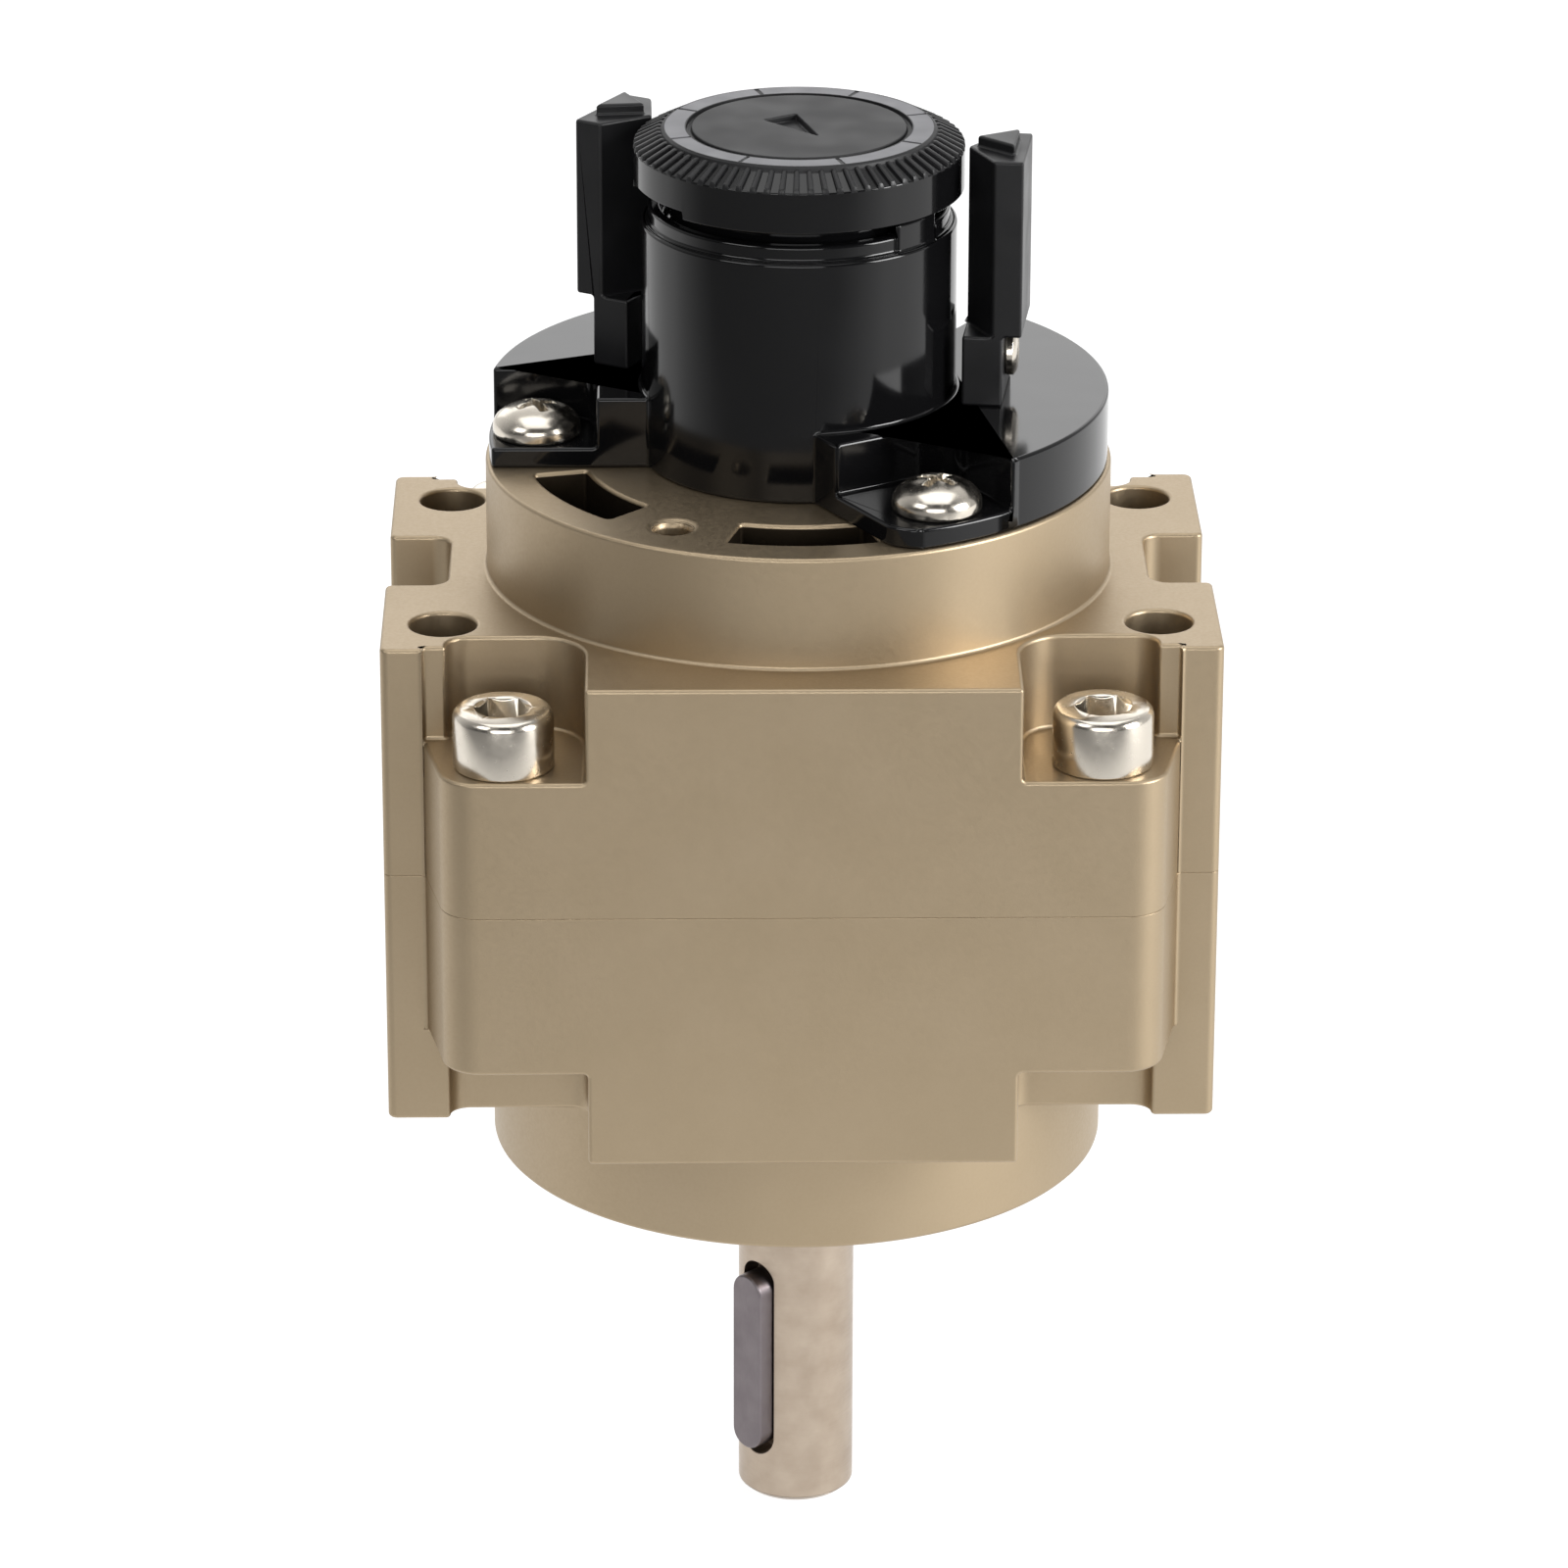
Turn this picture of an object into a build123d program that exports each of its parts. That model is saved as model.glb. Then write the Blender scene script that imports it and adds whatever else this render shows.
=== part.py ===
from build123d import *
import os
from math import cos, radians, sin

os.makedirs("parts", exist_ok=True)

# Vane-type pneumatic rotary actuator with a position dial and two switch blocks.
# Millimetres. The shaft axis is Z. Z = 0 is the lower mounting face, and the front is -Y.

# Body block
lower_h = 26.4  # mounting face up to the joint between the two body halves
upper_h = 23.9  # joint up to the top face of the block
front_wall = 8.5  # chamber wall to the front panel's face
side_wall = 6.9  # chamber wall to the block's side
pocket_w = 13.7  # block's side in to the front panel between the screw pockets
flare_w = 2.3  # how far the block's side leans out on its way to an ear
ear_stand = 6.45  # ear's side beyond the block's
ear_half_d = 25.3  # shaft axis to an ear's front face
block_corner_r = 4.0
edge_break = 0.35  # chamfer on the outer edges
cut_over = 2.0  # how far cutting shapes reach past the surface they cut

# Screw pockets in the block's four corners, above and below
pocket_depth = 9.7  # top face of the block down to the screws' seats
pocket_in = 14.8  # front panel's face back to the pocket's rear wall
pocket_strip = 0.8  # pocket's outer end to the ear's front face
pocket_inner_r = 5.0
pocket_outer_r = 2.2
low_pocket_z = 9.7
low_pocket_out = 0.2  # pocket's outer wall beyond the block's side
low_pocket_in = 2.4  # ear's front face back to the pocket's rear wall
low_pocket_r = 2.0
panel_edge_r = 0.8
low_panel_edge_r = 1.4

# Side notches and ear holes
notch_w = 13.8
notch_depth = 6.2
notch_r = 2.0
ear_hole_side = 6.05  # hole axis to the ear's side
ear_hole_front = 7.2  # hole axis to the ear's front face
ear_hole_r = 3.3
ear_hole_break = 0.35

# Spigots
spigot_wall = 3.35  # chamber wall to the spigots' side
lower_spigot_h = 11.7
upper_spigot_h = 11.5
spigot_root_r = 0.6
spigot_sink = 0.1  # each spigot starts this far inside the block's face
spigot_seat_gap = 0.1  # round the spigot where it leaves the block's face

# Vane chamber, closed by a ring seal between the halves
chamber_r = 28.0
chamber_half_h = 15.0
seal_groove_out = 2.2  # chamber wall to the middle of the groove
seal_groove_w = 2.0
seal_groove_depth = 1.4
seal_side_gap = 0.05

# Ports on the rear panel, 1/8 inch taper thread
port_x = 12.0
port_z = 15.4
port_r = 4.3
port_depth = 9.0
passage_r = 1.75

# Body screws, M6 x 30 socket head
body_screw_side = 5.7  # screw axis to the block's side
body_screw_front = 5.3  # screw axis to the front panel's face
m6_r = 3.0
m6_len = 30.0
m6_head_r = 4.95
m6_head_h = 6.0
m6_socket_af = 5.0
m6_socket_depth = 3.4
screw_hole_gap = 0.3
thread_gap = 0.05

# Dowels and the stopper pin
dowel_r = 1.5
dowel_len = 10.0
dowel_side = 4.85  # dowel axis to the ear's side
dowel_y = 11.0
dowel_break = 0.2
stopper_pin_wall = 8.5  # pin axis to the chamber wall
stopper_pin_sink = 4.0
pin_gap = 0.02

# Shaft, key and vane
shaft_r = 6.0
shaft_out = 41.8  # shaft beyond the lower spigot
shaft_end_break = 0.7
journal_step = 1.0  # each step of the shaft up to its hub, on radius
hub_step = 2.0
vane_t = 8.0
swing_deg = 270.0
rest_angle = -135.0  # vane and key at rest, from +X
seal_lip = 1.6  # rubber round the vane's edge
seal_step = 0.2  # vane's flank to the rubber's
chamber_gap = 0.15  # rubber to the chamber wall
stop_gap = 0.3  # vane to stopper at either end of the swing
running_gap = 0.05
fit_gap = 0.02
key_w = 4.0
key_h = 4.0
key_len = 20.0
key_stand = 1.5  # key above the shaft's surface
key_middle_out = 25.6  # lower spigot face down to the key's middle
keyway_len = 22.2
key_break = 0.3

# Stopper between the two ports
stopper_half_w = 7.0
stopper_seal_w = 3.0
stopper_seal_depth = 2.5

# Bearings, 12 x 28 x 8
bearing_r = 14.0
bearing_w = 8.0
race_space = 3.2  # between the two races
ball_r = 2.38
ball_gap = 0.05
ball_count = 8
cage_t = 1.6
cage_set_in = 0.9

# Shaft seals and retaining rings
shaft_seal_w = 3.0  # journal to the seal's outside
shaft_seal_h = 4.0
backup_h = 2.4
clip_set_back = 0.6
clip_t = 1.2
clip_play = 0.1
clip_bite = 0.6  # ring outside the bearing seat's wall
clip_w = 1.9
clip_open_deg = 34.0
clip_eye_r = 0.8
clip_lug_r = 1.7

# Top of the upper spigot
cap_hole_r = 2.0  # M4
cap_hole_depth = 8.0
cap_hole_sink = 0.9  # countersink round the spare tapped holes
cover_screw_edge = 5.15  # screw axis to the spigot's side
spare_hole_edge = 6.05
top_recess_edge = 4.15
top_recess_w = 5.4
top_recess_count = 6
top_recess_turn = 30.0
top_recess_deg = 32.0
top_recess_depth = 2.6
top_recess_r = 0.8

# Switch cover
cover_set_in = 0.35  # cover's side inside the spigot's
cover_h = 7.3
foot_h = 2.1
cut_front_y = 4.8  # left foot's front edge, ahead of the axis
right_foot_half_w = 6.7
right_foot_corner_r = 5.0
pocket_end_r = 3.5
left_pocket_reach = 6.0  # screw axis in to each pocket's end, and out to either side
left_pocket_front_w = 4.7
left_pocket_rear_w = 9.0
right_pocket_reach = 8.2
right_pocket_front_w = 9.0
right_pocket_rear_w = 6.0
rear_pocket_reach = 6.0
rear_pocket_w = 5.6
housing_r = 15.7
housing_h = 24.7
housing_wall = 1.8
housing_roof = 2.0
roof_gap = 0.4
lug_turn = -41.0  # stop lug on the housing's rim, under the dial
lug_spread = 22.0
lug_w = 2.2  # housing's side in to the lug's inner face
lug_gap = 0.4

# Cover screws, M4 x 10 pan head with a cross recess
pan_r = 4.4
pan_h = 3.2
m4_len = 10.0
cross_w = 1.1
cross_len = 4.4
cross_depth = 1.8
cross_taper = 12.0
cross_turn = 25.0
pan_rim = 0.9

# Shaft end, lever and magnet inside the cover
stub_r = 4.5
stub_cut = 0.9  # depth of the flat on the shaft's upper end
stub_drop = 0.5  # housing's rim down to the shaft's upper end
stub_start = 2.2  # shaft step above the spigot
lever_hub_r = 7.9
lever_top_gap = 0.3
lever_hub_z = 2.8  # underside of the lever's hub above the spigot
lever_arm_z = 9.0
lever_arm_h = 8.0
lever_arm_w = 7.0
lever_end_gap = 0.7  # lever's tip to the housing's wall
magnet_r = 2.5
magnet_t = 3.0
set_screw_r = 2.0
set_screw_len = 3.2
set_screw_af = 2.0
set_screw_socket = 1.6

# Dial
dial_overhang = 0.7  # dial's side beyond the housing's
dial_z = 3.3  # dark gap between housing and dial
dial_skirt_h = 4.5
dial_bevel_h = 1.5
dial_bevel_w = 3.0
dial_ring_w = 2.5
dial_groove_w = 0.6
dial_groove_depth = 0.5
dial_wall = 1.6
dial_boss_wall = 2.1
dial_boss_gap = 0.5
socket_depth = 2.4
segment_count = 8
segment_turn = -27.0
segment_line_w = 0.4
rib_count = 72  # one every 5 degrees
rib_groove_w = 0.55
rib_groove_depth = 0.35
rib_start = 0.5  # bevel's inner edge out to the ribs
arrow_side = 7.6
arrow_w = 3.8
arrow_back = 1.2  # shaft axis back to the arrow's centroid
arrow_turn = -60.0
arrow_depth = 0.7
mark_turn = -135.0
mark_sweep = 42.0
mark_lift = 1.3

# Switch blocks
block_turns = {"right": -7.6, "left": 150.0}
block_half_t = 5.1
block_dial_gap = 0.4
block_foot_gap = 0.3  # foot to the housing
block_nose = 3.0  # tip back to the shoulders
block_depth = 5.9  # tip back to the outer face
block_foot_depth = 4.0  # tip back to the foot's outer face
block_foot_h = 7.2
block_rise = 0.1  # block's top above the dial's rim
pointer_h = 1.1
pointer_half_w = 2.9
pointer_set_back = 0.8
pointer_len = 4.0
m3_r = 1.5
m3_len = 4.0
m3_head_r = 2.4
m3_head_h = 1.2
m3_z = 4.2

# Heights worked out from the sizes above
block_top = lower_h + upper_h
pocket_floor_z = block_top - pocket_depth
spigot_low = -lower_spigot_h
spigot_top = block_top + upper_spigot_h
shaft_end = spigot_low - shaft_out
chamber_floor = lower_h - chamber_half_h
chamber_roof = lower_h + chamber_half_h
clip_room = clip_set_back + clip_t + clip_play
low_bearing_z = spigot_low + clip_room
high_bearing_z = spigot_top - clip_room - bearing_w
low_step = low_bearing_z + bearing_w
seal_room = shaft_seal_h + backup_h
foot_top = spigot_top + foot_h
cover_top = spigot_top + cover_h
housing_top = spigot_top + housing_h
stub_z = spigot_top + stub_start
stub_top = housing_top - stub_drop
dial_low = housing_top + dial_z
dial_rim = dial_low + dial_skirt_h
dial_top = dial_rim + dial_bevel_h
block_top_z = dial_rim + block_rise
lever_low = spigot_top + lever_hub_z
key_z = spigot_low - key_middle_out

# Places and radii worked out from the sizes above
body_half_d = chamber_r + front_wall
block_half_w = chamber_r + side_wall
panel_half_w = block_half_w - pocket_w
ear_half_w = block_half_w + ear_stand
spigot_r = chamber_r + spigot_wall
notch_x = ear_half_w - notch_depth
flare_half_w = block_half_w + flare_w
pocket_back_y = body_half_d - pocket_in
pocket_side_y = ear_half_d - pocket_strip
low_pocket_half_w = block_half_w + low_pocket_out
low_pocket_back_y = ear_half_d - low_pocket_in
ear_hole_x = ear_half_w - ear_hole_side
ear_hole_y = ear_half_d - ear_hole_front
body_screw_x = block_half_w - body_screw_side
body_screw_y = body_half_d - body_screw_front
dowel_x = ear_half_w - dowel_side
seal_groove_r = chamber_r + seal_groove_out
stopper_pin_y = chamber_r - stopper_pin_wall
journal_r = shaft_r + journal_step
hub_r = journal_r + hub_step
seal_t = vane_t - 2 * seal_step
stub_flat = stub_r - stub_cut
clip_r = bearing_r + clip_bite
ball_track_r = (shaft_r + bearing_r) / 2
race_inner_r = ball_track_r - race_space / 2
race_outer_r = ball_track_r + race_space / 2
cage_h = bearing_w - 2 * cage_set_in
shaft_seal_r = journal_r + shaft_seal_w
cover_r = spigot_r - cover_set_in
cover_screw_circle = spigot_r - cover_screw_edge
spare_hole_circle = spigot_r - spare_hole_edge
top_recess_out = spigot_r - top_recess_edge
top_recess_in = top_recess_out - top_recess_w
lug_in = housing_r - lug_w
lever_reach = housing_r - housing_wall - lever_end_gap
dial_r = housing_r + dial_overhang
dial_ring_outer_r = dial_r - dial_bevel_w
dial_ring_inner_r = dial_ring_outer_r - dial_ring_w
dial_boss_r = lever_hub_r + dial_boss_wall
rib_in = dial_ring_outer_r + rib_start
block_tip = dial_r + block_dial_gap
block_foot_in = housing_r + block_foot_gap
block_shoulder = block_tip + block_nose
block_out = block_tip + block_depth
block_foot_out = block_tip + block_foot_depth
pointer_tip = block_tip + pointer_set_back
pointer_base = pointer_tip + pointer_len
stop_turn = (360 - swing_deg) / 2
cover_screw_turns = [180, -60, 60]
foot_pockets = [
    (180, cover_screw_circle - left_pocket_reach, left_pocket_front_w, left_pocket_rear_w),
    (-60, cover_screw_circle - right_pocket_reach, right_pocket_front_w, right_pocket_rear_w),
    (60, cover_screw_circle - rear_pocket_reach, rear_pocket_w, rear_pocket_w),
]
spare_hole_turns = [-120, 0, 120]
four_corners = [(x, y) for x in (-1, 1) for y in (-1, 1)]


def around(turn, z=0.0):
    """Level plane at height z whose x points away from the axis at this turn."""
    return Plane(origin=(0, 0, z), x_dir=(cos(radians(turn)), sin(radians(turn)), 0), z_dir=(0, 0, 1))


def facing(turn, reach, z):
    """Upright plane at this reach from the axis, facing outwards, with its x pointing up."""
    out = (cos(radians(turn)), sin(radians(turn)), 0)
    return Plane(origin=(reach * out[0], reach * out[1], z), x_dir=(0, 0, 1), z_dir=out)


def block_plan():
    """Plan of the block in the open sketch: front panel, flared corners, ears and notches."""
    corner = [(block_half_w, -body_half_d), (flare_half_w, -ear_half_d), (ear_half_w, -ear_half_d)]
    rear = [(x, -y) for x, y in reversed(corner)]
    left = [(-x, y) for x, y in reversed(corner + rear)]
    Polygon(*corner, *rear, *left, align=None)
    fillet([v for v in vertices() if abs(abs(v.Y) - body_half_d) < 0.01], block_corner_r)


def notch_plan():
    """The two side notches in the open sketch."""
    for side in (-1, 1):
        with Locations((side * (notch_x + notch_depth), 0)):
            RectangleRounded(2 * notch_depth, notch_w, notch_r, mode=Mode.SUBTRACT)


def wedge(reach, spread):
    """Triangle in the open sketch from the axis outwards along x, this many degrees wide."""
    side_y = reach * sin(radians(spread / 2))
    return [(0, 0), (reach * cos(radians(spread / 2)), -side_y), (reach * cos(radians(spread / 2)), side_y)]


def panel_corners(half):
    """Upright edges of a body half's front and rear panels beside the screw pockets."""
    edges = half.edges().filter_by(Axis.Z)
    edges = [e for e in edges if abs(abs(e.center().X) - panel_half_w) < 0.01]
    return [e for e in edges if abs(abs(e.center().Y) - body_half_d) < 0.01]


def near(x, y):
    """Corner of the open sketch closest to a point."""
    return vertices().sort_by_distance((x, y, 0))[0]


# Stepped bores for the shaft: ring groove, bearing seat, seal seat and journal
shaft_bores = {}
for place, face_z, inward in (("lower", spigot_low, 1), ("upper", spigot_top, -1)):
    seat_z = face_z + inward * (clip_room + bearing_w)
    with BuildPart() as shaft_bore:
        with BuildSketch(Plane.XY.offset(face_z)):
            Circle(bearing_r + fit_gap)
        extrude(amount=inward * (clip_room + bearing_w))
        with BuildSketch(Plane.XY.offset(face_z + inward * clip_set_back)):
            Circle(clip_r + clip_play)
        extrude(amount=inward * (clip_t + clip_play))
        with BuildSketch(Plane.XY.offset(seat_z)):
            Circle(shaft_seal_r + fit_gap)
        extrude(amount=inward * seal_room)
        with BuildSketch(Plane.XY.offset(seat_z)):
            Circle(journal_r + running_gap)
        extrude(amount=lower_h - seat_z)
    shaft_bores[place] = shaft_bore.part

# Lower body half: block with the chamber's lower part, the ports and the mounting ears
low_pocket = [
    (panel_half_w, body_half_d + cut_over),
    (panel_half_w, low_pocket_back_y),
    (low_pocket_half_w, low_pocket_back_y),
    (low_pocket_half_w, ear_half_d),
    (ear_half_w, ear_half_d),
    (ear_half_w, body_half_d + cut_over),
]
with BuildPart() as body_lower:
    with BuildSketch(Plane.XY):
        block_plan()
        notch_plan()
    extrude(amount=lower_h)
    for side_x, side_y in four_corners:
        with BuildSketch(Plane.XY):
            Polygon(*[(x * side_x, y * side_y) for x, y in low_pocket], align=None)
            fillet(near(side_x * panel_half_w, side_y * low_pocket_back_y), low_pocket_r)
            fillet(near(side_x * low_pocket_half_w, side_y * low_pocket_back_y), low_pocket_r)
        extrude(amount=low_pocket_z, mode=Mode.SUBTRACT)
    fillet(panel_corners(body_lower), low_panel_edge_r)
    with BuildSketch(Plane.XY):
        Circle(spigot_r)
    extrude(amount=low_pocket_z)
    with BuildSketch(Plane.XY):
        Circle(spigot_r + spigot_seat_gap)
    extrude(amount=spigot_sink, mode=Mode.SUBTRACT)
    with BuildSketch(Plane.XY.offset(chamber_floor)):
        Circle(chamber_r)
    extrude(amount=chamber_half_h, mode=Mode.SUBTRACT)
    with BuildSketch(Plane.XY.offset(lower_h - seal_groove_depth)):
        Circle(seal_groove_r + seal_groove_w / 2)
        Circle(seal_groove_r - seal_groove_w / 2, mode=Mode.SUBTRACT)
    extrude(amount=seal_groove_depth, mode=Mode.SUBTRACT)
    add(shaft_bores["lower"], mode=Mode.SUBTRACT)
    for side_x, side_y in four_corners:
        with Locations((side_x * ear_hole_x, side_y * ear_hole_y, lower_h)):
            Hole(ear_hole_r, lower_h)
        with Locations((side_x * body_screw_x, side_y * body_screw_y, lower_h)):
            Hole(m6_r + thread_gap, lower_h - low_pocket_z)
    with Locations((dowel_x, -dowel_y, lower_h), (-dowel_x, dowel_y, lower_h)):
        Hole(dowel_r + pin_gap, dowel_len / 2)
    with Locations((0, stopper_pin_y, chamber_floor)):
        Hole(dowel_r + pin_gap, stopper_pin_sink)
    for side_x in (-1, 1):
        with Locations(Plane((side_x * port_x, body_half_d, port_z), z_dir=(0, 1, 0))):
            Hole(port_r, port_depth)
            Hole(passage_r, body_half_d - chamber_r / 2)
    ear_rims = body_lower.edges().filter_by(GeomType.CIRCLE)
    ear_rims = [e for e in ear_rims if abs(e.radius - ear_hole_r) < 0.01]
    chamfer([e for e in ear_rims if abs(e.center().Z) < 0.01], ear_hole_break)

body_lower.part.label = "body_lower"
export_step(body_lower.part, "parts/body_lower.step")

# Lower pilot spigot, cast on the lower half
with BuildPart() as lower_spigot:
    with BuildSketch(Plane.XY.offset(spigot_low)):
        Circle(spigot_r)
    extrude(amount=lower_spigot_h + spigot_sink)
    chamfer(lower_spigot.faces().sort_by(Axis.Z)[0].edges(), edge_break)
    add(shaft_bores["lower"], mode=Mode.SUBTRACT)
lower_spigot.part.label = "lower_spigot"
export_step(lower_spigot.part, "parts/lower_spigot.step")

# Upper body half: block with the chamber's upper part and the screw pockets
high_pocket = [
    (panel_half_w, body_half_d + cut_over),
    (panel_half_w, pocket_back_y),
    (block_half_w, pocket_back_y),
    (block_half_w, pocket_side_y),
    (flare_half_w, pocket_side_y),
    (flare_half_w, body_half_d + cut_over),
]
with BuildPart() as body_upper:
    with BuildSketch(Plane.XY.offset(lower_h)):
        block_plan()
        notch_plan()
    extrude(amount=upper_h)
    for side_x, side_y in four_corners:
        with BuildSketch(Plane.XY.offset(pocket_floor_z)):
            Polygon(*[(x * side_x, y * side_y) for x, y in high_pocket], align=None)
            fillet(near(side_x * block_half_w, side_y * pocket_back_y), pocket_outer_r)
            fillet(near(side_x * panel_half_w, side_y * pocket_back_y), pocket_inner_r)
        extrude(amount=block_top - pocket_floor_z, mode=Mode.SUBTRACT)
    fillet(panel_corners(body_upper), panel_edge_r)
    for side_x, side_y in four_corners:
        with Locations((side_x * ear_hole_x, side_y * ear_hole_y, block_top)):
            Hole(ear_hole_r, upper_h)
    top_face = body_upper.faces().filter_by(Axis.Z).sort_by(Axis.Z)[-1]
    chamfer(top_face.edges(), edge_break)
    with BuildSketch(Plane.XY.offset(pocket_floor_z)):
        Circle(spigot_r)
    extrude(amount=pocket_depth)
    with BuildSketch(Plane.XY.offset(block_top)):
        Circle(spigot_r + spigot_root_r + spigot_seat_gap)
    extrude(amount=-spigot_sink, mode=Mode.SUBTRACT)
    with BuildSketch(Plane.XY.offset(chamber_roof)):
        Circle(chamber_r)
    extrude(amount=-chamber_half_h, mode=Mode.SUBTRACT)
    add(shaft_bores["upper"], mode=Mode.SUBTRACT)
    for side_x, side_y in four_corners:
        with Locations((side_x * body_screw_x, side_y * body_screw_y, pocket_floor_z)):
            Hole(m6_r + screw_hole_gap, pocket_floor_z - lower_h)
    with Locations(Plane((dowel_x, -dowel_y, lower_h), z_dir=(0, 0, -1))):
        Hole(dowel_r + pin_gap, dowel_len / 2)
    with Locations(Plane((-dowel_x, dowel_y, lower_h), z_dir=(0, 0, -1))):
        Hole(dowel_r + pin_gap, dowel_len / 2)
    with Locations(Plane((0, stopper_pin_y, chamber_roof), z_dir=(0, 0, -1))):
        Hole(dowel_r + pin_gap, stopper_pin_sink)

body_upper.part.label = "body_upper"
export_step(body_upper.part, "parts/body_upper.step")

# Upper spigot, cast on the upper half, with tapped holes and recesses in its top
with BuildPart() as upper_spigot:
    with BuildSketch(Plane.XZ):
        with BuildLine():
            root = RadiusArc(
                (spigot_r + spigot_root_r, block_top), (spigot_r, block_top + spigot_root_r), spigot_root_r
            )
            Polyline(
                root @ 1,
                (spigot_r, spigot_top - edge_break),
                (spigot_r - edge_break, spigot_top),
                (0, spigot_top),
                (0, block_top - spigot_sink),
                (spigot_r + spigot_root_r, block_top - spigot_sink),
                root @ 0,
            )
        make_face()
    revolve(axis=Axis.Z)
    add(shaft_bores["upper"], mode=Mode.SUBTRACT)
    for turn in cover_screw_turns:
        with Locations(around(turn, spigot_top) * Pos(cover_screw_circle, 0)):
            Hole(cap_hole_r + thread_gap, cap_hole_depth)
    for turn in spare_hole_turns:
        with Locations(around(turn, spigot_top) * Pos(spare_hole_circle, 0)):
            CounterSinkHole(cap_hole_r, cap_hole_r + cap_hole_sink, cap_hole_depth)
    for step in range(top_recess_count):
        with BuildSketch(around(top_recess_turn + 360 / top_recess_count * step, spigot_top)):
            Circle(top_recess_out)
            Circle(top_recess_in, mode=Mode.SUBTRACT)
            Polygon(*wedge(2 * spigot_r, top_recess_deg), align=None, mode=Mode.INTERSECT)
            fillet(vertices(), top_recess_r)
        extrude(amount=-top_recess_depth, mode=Mode.SUBTRACT)
upper_spigot.part.label = "upper_spigot"
export_step(upper_spigot.part, "parts/upper_spigot.step")

# Ring seal between the halves
with BuildPart() as body_seal:
    with BuildSketch(Plane.XY.offset(lower_h - seal_groove_depth)):
        Circle(seal_groove_r + seal_groove_w / 2 - seal_side_gap)
        Circle(seal_groove_r - seal_groove_w / 2 + seal_side_gap, mode=Mode.SUBTRACT)
    extrude(amount=seal_groove_depth)
body_seal.part.label = "body_seal"
export_step(body_seal.part, "parts/body_seal.step")

# Body screws, one in each corner
with BuildPart() as body_screws:
    for side_x, side_y in four_corners:
        at_x = side_x * body_screw_x
        at_y = side_y * body_screw_y
        with BuildSketch(Plane((at_x, at_y, pocket_floor_z))):
            Circle(m6_head_r)
        extrude(amount=m6_head_h)
        with BuildSketch(Plane((at_x, at_y, pocket_floor_z))):
            Circle(m6_r)
        extrude(amount=-m6_len)
        with BuildSketch(Plane((at_x, at_y, pocket_floor_z + m6_head_h))):
            RegularPolygon(m6_socket_af / 2, 6, major_radius=False)
        extrude(amount=-m6_socket_depth, mode=Mode.SUBTRACT)
    head_rims = body_screws.edges().filter_by(GeomType.CIRCLE)
    head_rims = [e for e in head_rims if abs(e.center().Z - pocket_floor_z - m6_head_h) < 0.01]
    chamfer(head_rims, edge_break)
body_screws.part.label = "body_screws"
export_step(body_screws.part, "parts/body_screws.step")

# Dowels that line the halves up
with BuildPart() as body_dowels:
    for side in (-1, 1):
        with BuildSketch(Plane((side * dowel_x, -side * dowel_y, lower_h - dowel_len / 2))):
            Circle(dowel_r)
        extrude(amount=dowel_len)
    chamfer(body_dowels.edges().filter_by(GeomType.CIRCLE), dowel_break)
body_dowels.part.label = "body_dowels"
export_step(body_dowels.part, "parts/body_dowels.step")

# Stopper: parallel sides, and a V-shaped foot that the vane's flanks come up against
flank = vane_t / 2 + stop_gap
foot_tip_y = flank / sin(radians(stop_turn))
foot_edge_y = foot_tip_y + stopper_half_w / sin(radians(stop_turn)) * cos(radians(stop_turn))
with BuildPart() as stopper:
    with BuildSketch(Plane.XY.offset(chamber_floor)):
        Polygon(
            (0, foot_tip_y),
            (stopper_half_w, foot_edge_y),
            (stopper_half_w, chamber_r + cut_over),
            (-stopper_half_w, chamber_r + cut_over),
            (-stopper_half_w, foot_edge_y),
            align=None,
        )
        Circle(chamber_r - fit_gap, mode=Mode.INTERSECT)
        Circle(hub_r + stop_gap, mode=Mode.SUBTRACT)
        with Locations((0, hub_r + running_gap + stopper_seal_depth / 2)):
            Rectangle(stopper_seal_w, stopper_seal_depth, mode=Mode.SUBTRACT)
    extrude(amount=2 * chamber_half_h)
    with Locations((0, stopper_pin_y, chamber_roof)):
        Hole(dowel_r + pin_gap, 2 * chamber_half_h)
stopper.part.label = "stopper"
export_step(stopper.part, "parts/stopper.step")

# Rubber strip in the stopper's foot, which wipes the hub
with BuildPart() as stopper_seal:
    with BuildSketch(Plane.XY.offset(chamber_floor)):
        with Locations((0, hub_r + running_gap + stopper_seal_depth / 2)):
            Rectangle(stopper_seal_w, stopper_seal_depth)
        Circle(hub_r + running_gap, mode=Mode.SUBTRACT)
    extrude(amount=2 * chamber_half_h)
stopper_seal.part.label = "stopper_seal"
export_step(stopper_seal.part, "parts/stopper_seal.step")

# Pin through the stopper into both halves
with BuildPart() as stopper_pin:
    with BuildSketch(Plane((0, stopper_pin_y, chamber_floor - stopper_pin_sink))):
        Circle(dowel_r)
    extrude(amount=2 * chamber_half_h + 2 * stopper_pin_sink)
    chamfer(stopper_pin.edges().filter_by(GeomType.CIRCLE), dowel_break)
stopper_pin.part.label = "stopper_pin"
export_step(stopper_pin.part, "parts/stopper_pin.step")

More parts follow.
